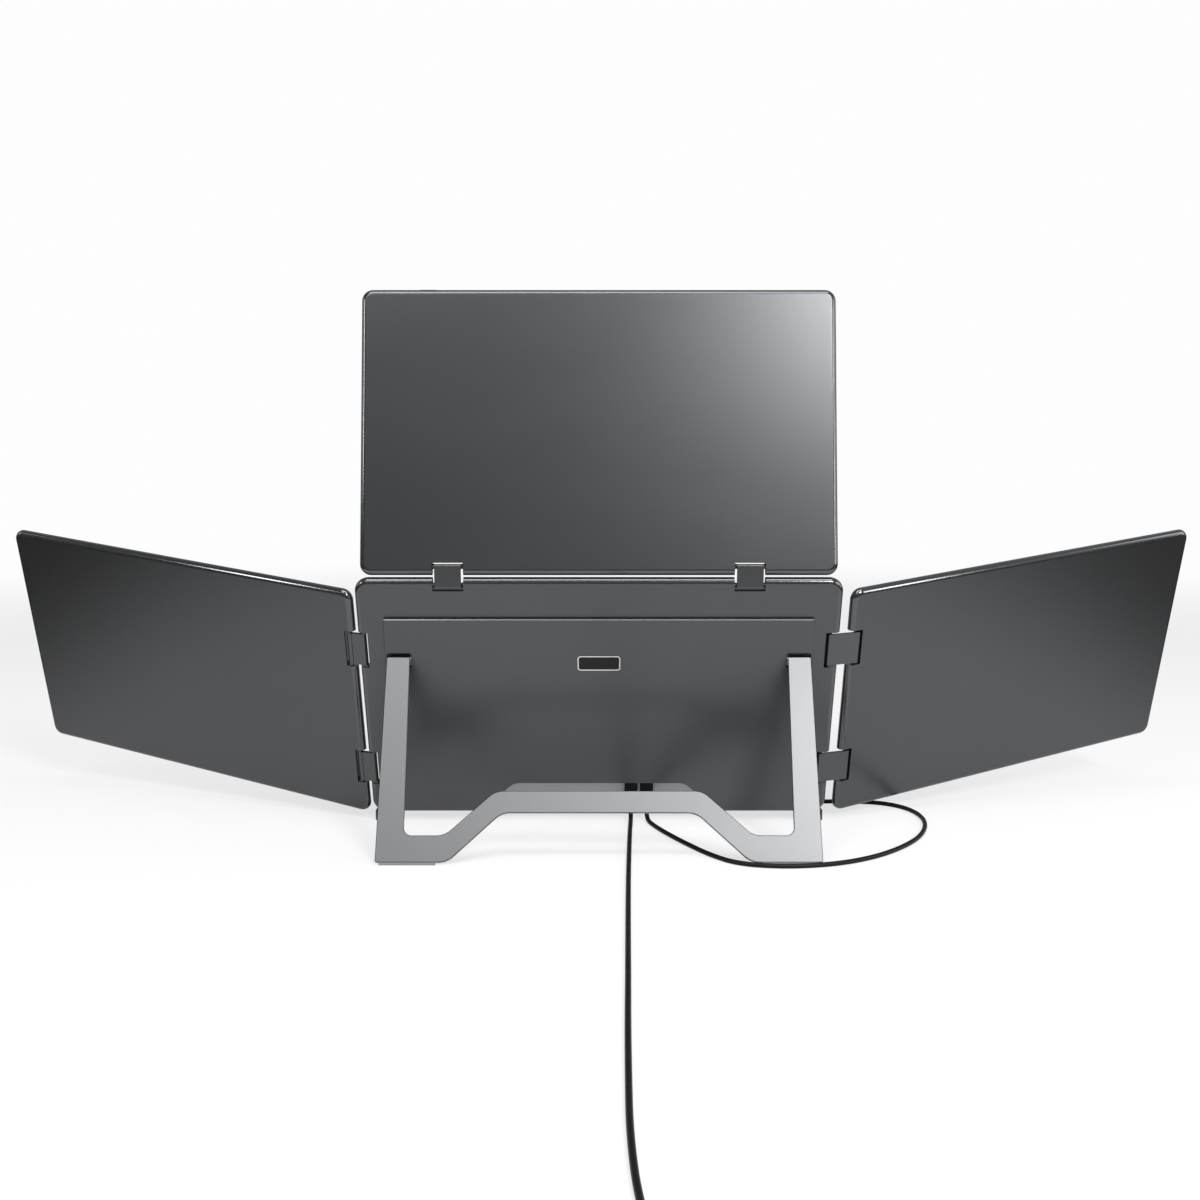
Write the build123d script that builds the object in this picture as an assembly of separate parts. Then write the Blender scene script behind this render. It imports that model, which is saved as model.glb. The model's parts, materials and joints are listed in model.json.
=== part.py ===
from build123d import *
import math
import os
from dataclasses import dataclass

# Laptop screen extender: a centre panel on a folding stand carries a screen on its left, right
# and top edge, each on two-axis links. Millimetres. World frame: +Z up, the screens face -Y,
# the origin is on the table below the middle of the centre panel's lower edge.
# Each panel is modelled in its own frame: X to the user's right, Y up the panel, Z to its front.

# ---------------------------------------------------------------- driving dimensions
LEAN = 18.5                    # centre panel leans back by this angle
CENTRE_WIDTH = 370.0
CENTRE_HEIGHT = 208.5
CENTRE_THICKNESS = 8.0
CENTRE_CORNER = 11.0

SCREEN_THICKNESS = 7.6
SCREEN_CORNER = 8.5
SIDE_WIDTH = 334.0
SIDE_HEIGHT = 199.0
SIDE_DROP = 1.2                # side screens hang this far below the centre panel's lower edge
TOP_WIDTH = 360.5
TOP_HEIGHT = 217.5
SIDE_BEND = 22.5               # how far the side screens are swung to the user
TOP_BEND = 27.0

SIDE_HINGE_BORDER = 14.2       # bezel widths round the 14 inch display areas
SIDE_FAR_BORDER = 10.4
SIDE_CHIN = 16.0
SIDE_UPPER_BORDER = 9.0
TOP_CHIN = 14.0                # bezel widths round the 15.6 inch display area
TOP_FAR_BORDER = 9.9
TOP_SIDE_BORDER = 8.15

BACK_EDGE_RADIUS = 4.3
FRONT_EDGE_RADIUS = 3.2
BACK_WALL = 0.9
EDGE_WALL = 1.3
FRONT_SKIN = 1.2               # thickness of bezels and of the centre panel's front cover
SEAT = 0.1                     # clearance of pieces that lie in a shell

FIRST_FOLD_GAP = 1.2           # between the centre panel and the screen folded next to it
FOLD_GAP = 0.5                 # between folded screens
BARREL_RADIUS = 1.8
PIN_RADIUS = 0.9
PIN_CLEARANCE = 0.05
BORE_COVER = 0.45              # metal between a front pin and its panel's front skin
NOTCH_WALL = 1.2
NOTCH_CLEARANCE = 1.0          # behind the link's barrel
SIDE_LINK_WIDTH = 26.5
TOP_LINK_WIDTH = 20.0
LINK_SIDE_GAP = 1.7
LINK_PLATE = 1.4               # thickness of an offset link's plate
POST_CLEARANCE = 0.4           # between a folded screen's edge and the links outside it
EAR_WIDTH = 2.6
BRACKET_BACK = 1.1
RIGHT_EDGE_GAP = 3.3           # open gap between the panels' edges when unfolded flat
TOP_EDGE_GAP = 0.9
LEFT_EDGE_GAP = 6.5
UPPER_HINGE = 149.0            # side hinges, up the centre panel
LOWER_HINGE = 42.8
TOP_HINGE = 114.0              # top hinges, left and right of the middle

GLASS_RECESS = 0.4
GLASS_THICKNESS = 0.8
WINDOW_FIT = 0.15
MODULE_THICKNESS = 2.6
MODULE_BORDER = 1.0
BOARD_THICKNESS = 1.0

KEY_LENGTH = 12.0
KEY_HEIGHT = 1.8
KEY_PROUD = 0.15
SIDE_KEY_INSET = 39.5          # middle of the key to the screen's side
TOP_KEY_INSET = 50.25
KEY_TRAVEL = 0.5
KEY_FLANGE = 0.8
KEY_FIT = 0.15
KEY_SEAT = 0.5                 # air between a key's flange and the edge wall

PANEL_FOOT_HEIGHT = 5.5        # table to the centre panel's lowest edge
PANEL_FOOT_WIDTH = 18.0
PANEL_FOOT_INSET = 2.0
PANEL_FOOT_LENGTH = 13.0

PLATE_MARGIN = 20.4            # raised plate's side to the centre panel's edge
PLATE_TOP = 176.8
PLATE_BOTTOM = 5.0
PLATE_RISE = 3.0
PLATE_CORNER = 1.6
BADGE_SIZE = (33.0, 12.5)
BADGE_HEIGHT = 139.6
BADGE_RISE = 0.5
BADGE_RING = 0.9

BAY_HALF_WIDTH = 69.0          # port bay, an open trapezoid at the foot of the raised plate
BAY_TOP = 30.5
BAY_RADIUS = 12.0
BAY_DEPTH = 2.9                # into the rear shell
BAY_PLATE = 0.6

STAND_HINGE = 143.0            # stand axis, up the centre panel
STAND_LENGTH = 156.0           # axis to the feet's lower edge
STAND_THICKNESS = 2.8
STAND_INSET = 1.6              # stand's side inside the raised plate's
STAND_FOLD_GAP = 0.3
STAND_BARREL = 1.8
STAND_PIN = 0.9
STAND_SEAT = 0.2               # between the stand's barrels and the rear shell
STAND_EAR = 2.6                # width of the ears beside a barrel, their fit included
STAND_EAR_WALL = 0.3
STAND_PAD = 0.9
LEG_TOP_WIDTH = 17.7
LEG_FOOT_WIDTH = 20.0
FOOT_HEIGHT = 19.5
BAR_LOW = 36.0
BAR_HIGH = 52.3
FOOT_RUN = 50.0
BEND_RADIUS = 16.0
HOLE_RADIUS = 6.0
STAND_EDGE = 0.45

PAD_SIZE = (26.0, 8.0)         # pads for the laptop's lid
PAD_RISE = 0.5
PAD_INSET = 55.0               # middle of a pad to the panel's side
PAD_LOW = 16.0
PAD_DROP = 24.0                # middle of an upper pad to the panel's upper edge

BOSS_INSET = 65.0              # screw bosses, to the panel's side
BOSS_LOW = 70.0
BOSS_DROP = 23.5
BOSS_RADIUS = 3.2
SCREW_RADIUS = 1.05
SCREW_LENGTH = 4.0
SCREW_HEAD_RADIUS = 2.3
SCREW_FIT = 0.1                # round a head
SCREW_BITE = 0.05              # round a thread

PLUG_WIDTH = 10.6
PLUG_THICKNESS = 5.6
PLUG_LENGTH = 12.0
PLUG_RELIEF = 3.0
PLUG_X = (-26.0, -38.6)
SOCKET_WIDTH = 8.94
SOCKET_HEIGHT = 3.26
SOCKET_LENGTH = 7.5
SOCKET_WALL = 0.3
SLEEVE_FIT = 0.06
SLEEVE_LENGTH = 6.2
PLUG_SHOULDER = 0.3            # air between a seated plug's grip and the port's face
CORD_DIAMETER = 3.6
CORD_REST = 0.1                # air under a cord that lies on the table
COIL_TURN_DIAMETER = 42.0      # at the middle of the turns
LEAD_OUT = 14.0                # cord between a coil and its far plug's relief
COIL_SEAT = 0.3                # between a tube's or plug's end and its coil's outer form

# ---------------------------------------------------------------- derived places
COS_LEAN = math.cos(math.radians(LEAN))
SIN_LEAN = math.sin(math.radians(LEAN))
HALF_CENTRE = CENTRE_THICKNESS / 2
HALF_SCREEN = SCREEN_THICKNESS / 2
PLATE_HALF_WIDTH = CENTRE_WIDTH / 2 - PLATE_MARGIN
STAND_HALF_WIDTH = PLATE_HALF_WIDTH - STAND_INSET
CENTRE_Z = PANEL_FOOT_HEIGHT + HALF_CENTRE * SIN_LEAN
CENTRE_FRAME = Location((0, 0, CENTRE_Z), (90 - LEAN, 0, 0))
PLATE_BACK = -HALF_CENTRE - PLATE_RISE
STAND_AXIS_Z = -HALF_CENTRE - STAND_SEAT - STAND_BARREL
STAND_FOLDED_Z = PLATE_BACK - STAND_FOLD_GAP - STAND_THICKNESS / 2
BAY_FLOOR = -HALF_CENTRE + BAY_DEPTH
PLUG_Z = BAY_FLOOR - SEAT - PLUG_THICKNESS / 2
FIRST_LAYER = HALF_CENTRE + FIRST_FOLD_GAP + HALF_SCREEN
SECOND_LAYER = FIRST_LAYER + SCREEN_THICKNESS + FOLD_GAP
THIRD_LAYER = SECOND_LAYER + SCREEN_THICKNESS + FOLD_GAP
BACK_AXIS_INSET = BARREL_RADIUS + 0.4
FRONT_AXIS_INSET = FRONT_SKIN + PIN_RADIUS + BORE_COVER


@dataclass(frozen=True)
class Wing:
    """One screen and how its edge hangs on the centre panel."""
    name: str
    turn: float          # outward direction of the hinged edge, degrees about the panel's normal
    edge: tuple          # middle of the hinged edge in the centre panel's frame
    depth: float         # from the hinged edge to the far edge
    length: float        # along the hinged edge
    shift: float         # middle of the screen along the edge
    bend: float
    layer: float         # height of the folded screen over the centre panel's mid-plane
    gap: float
    centre_axis: float   # height of each axis over its panel's mid-plane
    screen_axis: float
    hinges: tuple        # places along the edge
    link_width: float
    offset: float        # from the axes back to an offset link's plate; 0 for a straight link
    window: tuple        # low and high corner of the display area
    key_place: float

    @property
    def spacing(self):
        return self.layer - self.centre_axis - self.screen_axis

    @property
    def setback(self):
        return (self.spacing - self.gap) / 2

    @property
    def edge_frame(self):
        return CENTRE_FRAME * Pos(*self.edge) * Rot(0, 0, self.turn)

    @property
    def link_frame(self):
        return self.edge_frame * Pos(-self.setback, 0, self.centre_axis) * Rot(0, -self.bend / 2, 0)

    @property
    def screen_frame(self):
        turned = self.link_frame * Pos(self.spacing, 0, 0) * Rot(0, -self.bend / 2, 0)
        return turned * Pos(-self.setback, self.shift, -self.screen_axis)


def side_wing(name, side, layer, gap, centre_axis, screen_axis, offset=0.0):
    """A side screen: side is 1 for the user's right and -1 for the left."""
    middle = CENTRE_HEIGHT / 2
    across = sorted((side * (SIDE_CHIN - SIDE_HEIGHT / 2), side * (SIDE_HEIGHT / 2 - SIDE_UPPER_BORDER)))
    return Wing(
        name=name, turn=90 - 90 * side, edge=(side * CENTRE_WIDTH / 2, middle, 0),
        depth=SIDE_WIDTH, length=SIDE_HEIGHT, shift=side * (SIDE_HEIGHT / 2 - SIDE_DROP - middle),
        bend=SIDE_BEND, layer=layer, gap=gap, centre_axis=centre_axis, screen_axis=screen_axis,
        hinges=(side * (UPPER_HINGE - middle), side * (LOWER_HINGE - middle)),
        link_width=SIDE_LINK_WIDTH, offset=offset,
        window=((SIDE_HINGE_BORDER, across[0]), (SIDE_WIDTH - SIDE_FAR_BORDER, across[1])),
        key_place=side * (SIDE_KEY_INSET - SIDE_HEIGHT / 2))


RIGHT = side_wing("right", 1, FIRST_LAYER, RIGHT_EDGE_GAP,
                  BACK_AXIS_INSET - HALF_CENTRE, BACK_AXIS_INSET - HALF_SCREEN)
LEFT_SPACING = THIRD_LAYER - HALF_CENTRE - HALF_SCREEN + 2 * FRONT_AXIS_INSET
LEFT_POST = CENTRE_WIDTH / 2 - (LEFT_SPACING - LEFT_EDGE_GAP) / 2   # axis to the middle of the panel
LEFT = side_wing("left", -1, THIRD_LAYER, LEFT_EDGE_GAP, HALF_CENTRE - FRONT_AXIS_INSET,
                 HALF_SCREEN - FRONT_AXIS_INSET, TOP_WIDTH / 2 + POST_CLEARANCE - LEFT_POST)
TOP_WINDOW = TOP_WIDTH / 2 - TOP_SIDE_BORDER
TOP = Wing(
    name="top", turn=90, edge=(0, CENTRE_HEIGHT, 0), depth=TOP_HEIGHT, length=TOP_WIDTH, shift=0,
    bend=TOP_BEND, layer=SECOND_LAYER, gap=TOP_EDGE_GAP,
    centre_axis=HALF_CENTRE - FRONT_AXIS_INSET, screen_axis=HALF_SCREEN - FRONT_AXIS_INSET,
    hinges=(-TOP_HINGE, TOP_HINGE), link_width=TOP_LINK_WIDTH, offset=LEFT.offset,
    window=((TOP_CHIN, -TOP_WINDOW), (TOP_HEIGHT - TOP_FAR_BORDER, TOP_WINDOW)),
    key_place=TOP_KEY_INSET - TOP_WIDTH / 2)
WINGS = (RIGHT, TOP, LEFT)


# ---------------------------------------------------------------- shared shapes
def block(low, high):
    """A box between two opposite corners."""
    size = [abs(b - a) for a, b in zip(low, high)]
    middle = [(a + b) / 2 for a, b in zip(low, high)]
    return Pos(*middle) * Box(*size)


def slab(width, height, low, high, radius, middle=(0, 0)):
    """A plate with rounded corners between two heights."""
    return Pos(*middle, low) * extrude(RectangleRounded(width, height, radius), high - low)


def rod(start, end, radius):
    """A round bar between two points."""
    path = Vector(*end) - Vector(*start)
    return Plane(origin=start, z_dir=path) * Cylinder(
        radius, path.length, align=(Align.CENTER, Align.CENTER, Align.MIN))


def outline(points, radii):
    """A closed face from corner points, each corner rounded by its own radius."""
    return make_face(FilletPolyline(*points, radius=radii, close=True))


def join(solids):
    """One group of separate solids."""
    return Compound(children=[s for item in solids for s in item.solids()])


def casing(width, height, thickness, corner, middle):
    """The outer form of a panel: rounded in plan, with soft back and front edges."""
    body = slab(width, height, -thickness / 2, thickness / 2, corner, middle)
    back = body.faces().sort_by(Axis.Z)[0].edges()
    body = fillet(back, BACK_EDGE_RADIUS)
    front = body.faces().sort_by(Axis.Z)[-1].edges()
    return fillet(front, FRONT_EDGE_RADIUS)


def cavity(width, height, thickness, corner, middle, shrink=0.0):
    """The room inside a panel, behind its front skin."""
    inset = EDGE_WALL + shrink
    low = -thickness / 2 + BACK_WALL + shrink
    high = thickness / 2 - FRONT_SKIN - shrink
    room = slab(width - 2 * inset, height - 2 * inset, low, high, corner - inset, middle)
    return fillet(room.faces().sort_by(Axis.Z)[0].edges(), BACK_EDGE_RADIUS - EDGE_WALL)


# ---------------------------------------------------------------- hinges
def notch(wing, grow=0.0):
    """The gap in a panel's edge that a link swings in; X points outwards from the edge."""
    deep = wing.setback + BARREL_RADIUS + NOTCH_CLEARANCE + grow
    half = wing.link_width / 2 + LINK_SIDE_GAP + grow
    return block((-deep, -half, -CENTRE_THICKNESS), (1, half, CENTRE_THICKNESS))


def at_hinges(wing, shape):
    """A copy of the shape at each hinge of the edge."""
    return [Pos(0, place, 0) * shape for place in wing.hinges]


def hinge_bracket(wing, axis):
    """A steel stirrup round the notch: two ears with pin bores and a back bar."""
    inner = wing.link_width / 2 + LINK_SIDE_GAP + NOTCH_WALL + SEAT
    outer = inner + EAR_WIDTH
    notch_back = wing.setback + BARREL_RADIUS + NOTCH_CLEARANCE + NOTCH_WALL + SEAT
    back = notch_back + BRACKET_BACK
    tall = CENTRE_THICKNESS
    ears = [block((-back, side * inner, -tall), (-EDGE_WALL, side * outer, tall)) for side in (1, -1)]
    bar = block((-back, -outer, -tall), (-notch_back, outer, tall))
    bore = rod((-wing.setback, -outer - 1, axis), (-wing.setback, outer + 1, axis), PIN_RADIUS)
    return bar + ears - bore


def hinge_pin(wing, axis):
    """A pin through both ears of a bracket."""
    reach = wing.link_width / 2 + LINK_SIDE_GAP + NOTCH_WALL + SEAT + EAR_WIDTH
    return rod((-wing.setback, -reach, axis), (-wing.setback, reach, axis), PIN_RADIUS)


def pin_way(wing, axis):
    """The hole a pin passes through in the notch's side walls."""
    reach = wing.link_width / 2 + LINK_SIDE_GAP + NOTCH_WALL + SEAT
    return rod((-wing.setback, -reach, axis), (-wing.setback, reach, axis), PIN_RADIUS + SEAT)


def hinge_link(wing):
    """A link with a barrel at each end; an offset link's plate lies behind its axes."""
    width = wing.link_width
    if wing.offset:
        high, low = -wing.offset, -wing.offset - LINK_PLATE
        body = block((-BARREL_RADIUS, -width / 2, low), (wing.spacing + BARREL_RADIUS, width / 2, high))
        for place in (0, wing.spacing):
            body += block((place - BARREL_RADIUS, -width / 2, low), (place + BARREL_RADIUS, width / 2, 0))
        body = fillet(body.edges().filter_by(Axis.Y).group_by(Axis.Z)[0], 0.9)
        body += [rod((place, -width / 2, 0), (place, width / 2, 0), BARREL_RADIUS) for place in (0, wing.spacing)]
    else:
        bar = SlotCenterToCenter(wing.spacing, 2 * BARREL_RADIUS)
        body = Pos(wing.spacing / 2, width / 2, 0) * (Rot(90, 0, 0) * extrude(bar, width))
        groove = 0.5
        waist = wing.spacing - 2 * BARREL_RADIUS - 2 * groove
        for side in (1, -1):
            face = side * BARREL_RADIUS
            body -= block((wing.spacing / 2 - waist / 2, -width, min(face, face - side * groove)),
                          (wing.spacing / 2 + waist / 2, width, max(face, face - side * groove)))
    for place in (0, wing.spacing):
        body -= rod((place, -width, 0), (place, width, 0), PIN_RADIUS + PIN_CLEARANCE)
    return body


# ---------------------------------------------------------------- screens
def screen_nodes(wing):
    """The pieces of one screen in its own frame: X runs away from the hinged edge."""
    plan = (wing.depth, wing.length, SCREEN_THICKNESS, SCREEN_CORNER, (wing.depth / 2, 0))
    body = casing(*plan)
    room = cavity(*plan)
    seat_room = cavity(*plan, shrink=SEAT)
    split = HALF_SCREEN - FRONT_SKIN
    turned = Rot(0, 0, 180)
    local = Pos(0, -wing.shift, 0)
    notches = [local * (turned * (Pos(0, -p, 0) * notch(wing))) for p in wing.hinges]
    pockets = [local * (turned * (Pos(0, -p, 0) * notch(wing, NOTCH_WALL))) for p in wing.hinges]
    ways = [local * (turned * (Pos(0, -p, 0) * pin_way(wing, wing.screen_axis))) for p in wing.hinges]
    everything = wing.depth + wing.length

    key_z = BACK_EDGE_RADIUS - HALF_SCREEN
    key_gap = block((wing.depth - 2 * EDGE_WALL, wing.key_place - KEY_LENGTH / 2, key_z - KEY_HEIGHT / 2),
                    (wing.depth + 1, wing.key_place + KEY_LENGTH / 2, key_z + KEY_HEIGHT / 2))
    shell = body & block((-1, -everything, -everything), (everything, everything, split))
    shell -= room - pockets
    shell = shell - notches - ways - key_gap

    low, high = wing.window
    opening_low = (low[0], low[1], -everything)
    opening_high = (high[0], high[1], everything)
    bezel = body & block((-1, -everything, split), (everything, everything, everything))
    bezel = bezel - block(opening_low, opening_high) - notches

    glass_back = HALF_SCREEN - GLASS_RECESS - GLASS_THICKNESS
    glass = block((low[0] + WINDOW_FIT, low[1] + WINDOW_FIT, glass_back),
                  (high[0] - WINDOW_FIT, high[1] - WINDOW_FIT, HALF_SCREEN - GLASS_RECESS))
    module = block((low[0] - MODULE_BORDER, low[1] - MODULE_BORDER, split - MODULE_THICKNESS),
                   (high[0] + MODULE_BORDER, high[1] + MODULE_BORDER, split))
    glass = glass - block((-1, -everything, -everything), (everything, everything, split))

    floor = -HALF_SCREEN + BACK_WALL
    board_middle = (wing.depth * 0.55, 0)
    board = slab(90, 42, floor, floor + BOARD_THICKNESS, 2, board_middle)
    chips = [slab(w, h, floor + BOARD_THICKNESS, floor + BOARD_THICKNESS + 0.6, 0.5,
                  (board_middle[0] + x, y)) for x, y, w, h in ((-22, 6, 14, 14), (14, -8, 9, 7), (32, 9, 6, 12))]
    board = board + chips

    brackets = [seat_room & (local * (turned * (Pos(0, -p, 0) * hinge_bracket(wing, wing.screen_axis))))
                for p in wing.hinges]
    pins = [local * (turned * (Pos(0, -p, 0) * hinge_pin(wing, wing.screen_axis))) for p in wing.hinges]

    bumper_x = wing.depth - 6.5
    bumper_y = wing.length / 2 - 7.0
    bumpers = [Pos(x, y, HALF_SCREEN) * Cylinder(2.4, 0.35, align=(Align.CENTER, Align.CENTER, Align.MIN))
               for x in (7.0, bumper_x) for y in (-bumper_y, bumper_y)]

    key = block((wing.depth - EDGE_WALL - KEY_SEAT - KEY_FLANGE, wing.key_place - KEY_LENGTH / 2 + KEY_FIT,
                 key_z - KEY_HEIGHT / 2 + KEY_FIT),
                (wing.depth + KEY_PROUD, wing.key_place + KEY_LENGTH / 2 - KEY_FIT,
                 key_z + KEY_HEIGHT / 2 - KEY_FIT))
    key = fillet(key.edges().filter_by(Axis.X), 0.5)
    flange = block((wing.depth - EDGE_WALL - KEY_SEAT - KEY_FLANGE, wing.key_place - KEY_LENGTH / 2 - 1,
                    key_z - KEY_HEIGHT / 2 - 0.5),
                   (wing.depth - EDGE_WALL - KEY_SEAT, wing.key_place + KEY_LENGTH / 2 + 1,
                    key_z + KEY_HEIGHT / 2 + 0.5))
    name = wing.name
    return {
        f"{name}_rear_shell": shell, f"{name}_front_bezel": bezel, f"{name}_cover_glass": glass,
        f"{name}_lcd_module": module, f"{name}_driver_board": board,
        f"{name}_hinge_brackets": join(brackets), f"{name}_hinge_pins": join(pins),
        f"{name}_bumpers": join(bumpers), f"{name}_power_key": key + flange}


# ---------------------------------------------------------------- centre panel
def bay_face(grow=0.0):
    """The port bay: a trapezoid that is open at the panel's lower edge."""
    top = BAY_TOP + grow
    half = BAY_HALF_WIDTH + grow
    drop = top + 10
    points = [(-half - drop, top - drop), (-half, top), (half, top), (half + drop, top - drop)]
    return outline(points, [1, BAY_RADIUS, BAY_RADIUS, 1])


def leg_notch(side):
    """The recess in the raised plate that a leg's top sits in."""
    inner = STAND_HALF_WIDTH - LEG_TOP_WIDTH - 0.7
    low = STAND_HINGE - 7.5
    high = STAND_HINGE + 5.2
    outer = STAND_HALF_WIDTH + 0.4
    xs = sorted((side * inner, side * outer))
    face = Pos((xs[0] + xs[1]) / 2, (low + high) / 2) * RectangleRounded(xs[1] - xs[0], high - low, 1.5)
    return Pos(0, 0, PLATE_BACK - 1) * extrude(face, PLATE_RISE + 1)


def socket_place(x):
    """Frame of a port: Z points into the panel's body, up the panel."""
    return Pos(x, BAY_TOP, PLUG_Z) * Rot(-90, 0, 0)


def stadium(width, height, length):
    """A bar of flat oval section."""
    return extrude(SlotOverall(width, height), length)


def centre_nodes():
    """The pieces of the centre panel in its own frame."""
    plan = (CENTRE_WIDTH, CENTRE_HEIGHT, CENTRE_THICKNESS, CENTRE_CORNER, (0, CENTRE_HEIGHT / 2))
    body = casing(*plan)
    room = cavity(*plan)
    seat_room = cavity(*plan, shrink=SEAT)
    split = HALF_CENTRE - FRONT_SKIN
    huge = CENTRE_WIDTH
    frames = [(w, Pos(*w.edge) * Rot(0, 0, w.turn)) for w in WINGS]
    notches = [f * n for w, f in frames for n in at_hinges(w, notch(w))]
    pockets = [f * n for w, f in frames for n in at_hinges(w, notch(w, NOTCH_WALL))]
    ways = [f * n for w, f in frames for n in at_hinges(w, pin_way(w, w.centre_axis))]
    brackets = [seat_room & (f * n) for w, f in frames for n in at_hinges(w, hinge_bracket(w, w.centre_axis))]
    pins = [f * n for w, f in frames for n in at_hinges(w, hinge_pin(w, w.centre_axis))]

    bay_cut = Pos(0, 0, -huge) * extrude(bay_face(), huge + BAY_FLOOR + BAY_PLATE)
    bay_wall = Pos(0, 0, -huge) * extrude(bay_face(EDGE_WALL), huge + BAY_FLOOR + BAY_PLATE + BACK_WALL)
    sockets_room = [socket_place(x) * (Pos(0, 0, -1) * stadium(
        SOCKET_WIDTH + 2 * SEAT, SOCKET_HEIGHT + 2 * SEAT, SOCKET_LENGTH + 1.5)) for x in PLUG_X]
    shell = body & block((-huge, -1, -huge), (huge, huge, split))
    shell -= room - pockets - bay_wall
    shell = shell - notches - ways - bay_cut - sockets_room
    cover = (body & block((-huge, -1, split), (huge, huge, huge))) - notches

    bay_floor = extrude(bay_face(-SEAT), BAY_PLATE)
    bay_plate = (Pos(0, 0, BAY_FLOOR) * bay_floor) & block((-huge, FRONT_EDGE_RADIUS, -huge), (huge, huge, huge))

    plate_face = Pos(0, (PLATE_TOP + PLATE_BOTTOM) / 2) * RectangleRounded(
        2 * PLATE_HALF_WIDTH, PLATE_TOP - PLATE_BOTTOM, PLATE_CORNER)
    plate = Pos(0, 0, PLATE_BACK) * extrude(plate_face, PLATE_RISE)
    rim = plate.faces().sort_by(Axis.Z)[0].edges()
    plate = chamfer(rim, 0.6)
    plate = plate - bay_cut - sockets_room - [leg_notch(s) for s in (1, -1)]

    badge_face = Pos(0, BADGE_HEIGHT) * RectangleRounded(*BADGE_SIZE, 2.4)
    inner = (BADGE_SIZE[0] - 2 * BADGE_RING, BADGE_SIZE[1] - 2 * BADGE_RING)
    badge_inner = Pos(0, BADGE_HEIGHT) * RectangleRounded(*inner, 1.6)
    ring = Pos(0, 0, PLATE_BACK - BADGE_RISE) * extrude(badge_face - badge_inner, BADGE_RISE)
    badge = Pos(0, 0, PLATE_BACK - BADGE_RISE * 0.7) * extrude(badge_inner, BADGE_RISE * 0.7)

    sockets = []
    for x in PLUG_X:
        case = stadium(SOCKET_WIDTH, SOCKET_HEIGHT, SOCKET_LENGTH)
        hollow = stadium(SOCKET_WIDTH - 2 * SOCKET_WALL, SOCKET_HEIGHT - 2 * SOCKET_WALL, SOCKET_LENGTH - 0.8)
        blade = Pos(0, 0, SOCKET_LENGTH / 2 + 0.5) * Box(6.6, 0.7, SOCKET_LENGTH - 1)
        sockets.append(socket_place(x) * (case - hollow + blade))

    board_back = PLUG_Z + SOCKET_HEIGHT / 2
    board_low = BAY_TOP + EDGE_WALL + 0.3
    board = slab(120, 48, board_back, board_back + BOARD_THICKNESS, 2, (-20, board_low + 24))
    board += [slab(w, h, board_back + BOARD_THICKNESS, board_back + BOARD_THICKNESS + 1.2, 0.5, (x, board_low + y))
              for x, y, w, h in ((-20, 28, 16, 16), (14, 18, 9, 9), (-58, 30, 12, 8), (-33, 12, 8, 5))]

    pad_x = CENTRE_WIDTH / 2 - PAD_INSET
    pads = [slab(*PAD_SIZE, HALF_CENTRE, HALF_CENTRE + PAD_RISE, PAD_SIZE[1] / 2 - 0.1, (x, y))
            for x in (-pad_x, pad_x) for y in (PAD_LOW, CENTRE_HEIGHT - PAD_DROP)]
    boss_x = CENTRE_WIDTH / 2 - BOSS_INSET
    bosses = [(x, y) for x in (-boss_x, boss_x) for y in (BOSS_LOW, CENTRE_HEIGHT - BOSS_DROP)]
    below = (Align.CENTER, Align.CENTER, Align.MAX)
    above = (Align.CENTER, Align.CENTER, Align.MIN)
    shell += [Pos(x, y, split) * Cylinder(BOSS_RADIUS, split + HALF_CENTRE - BACK_WALL / 2, align=below)
              for x, y in bosses]
    shell -= [Pos(x, y, split) * Cylinder(SCREW_RADIUS + SCREW_BITE, SCREW_LENGTH + 0.5, align=below)
              for x, y in bosses]
    cover -= [Pos(x, y, 0) * Cylinder(SCREW_HEAD_RADIUS + SCREW_FIT, 3 * CENTRE_THICKNESS) for x, y in bosses]
    screws = [Pos(x, y, split) * (Cylinder(SCREW_HEAD_RADIUS, FRONT_SKIN - 0.2, align=above)
              + Cylinder(SCREW_RADIUS, SCREW_LENGTH, align=below)) for x, y in bosses]
    return {
        "centre_rear_shell": shell, "centre_front_cover": cover, "raised_back_plate": plate,
        "port_bay_plate": bay_plate, "badge_frame": ring, "badge_plate": badge,
        "usb_c_sockets": join(sockets), "main_board": board,
        "centre_hinge_brackets": join(brackets), "centre_hinge_pins": join(pins),
        "laptop_lid_pads": join(pads), "cover_screws": join(screws),
        "panel_feet": panel_feet(body)}


def panel_feet(body):
    """Two rubber feet that wrap the lower edge and stand flat on the table."""
    outer = CENTRE_WIDTH / 2 - PANEL_FOOT_INSET
    feet = []
    for side in (1, -1):
        xs = sorted((side * outer, side * (outer - PANEL_FOOT_WIDTH)))
        foot = block((xs[0], -PANEL_FOOT_LENGTH / 2, 0), (xs[1], PANEL_FOOT_LENGTH / 2, CENTRE_Z + 1.0))
        foot = fillet(foot.edges().filter_by(Axis.Z), 2.0)
        feet.append(CENTRE_FRAME.inverse() * foot - body)
    return join(feet)


def leg_parts(side):
    """Where a leg top's barrel and its two ears lie across the panel."""
    inner = STAND_HALF_WIDTH - LEG_TOP_WIDTH
    barrel = (inner + STAND_EAR - 0.2, STAND_HALF_WIDTH - STAND_EAR + 0.2)
    ears = [(inner - 0.4, barrel[0] - 0.2), (barrel[1] + 0.2, STAND_HALF_WIDTH + 0.2)]
    return sorted(side * x for x in barrel), [sorted(side * x for x in ear) for ear in ears]


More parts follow.
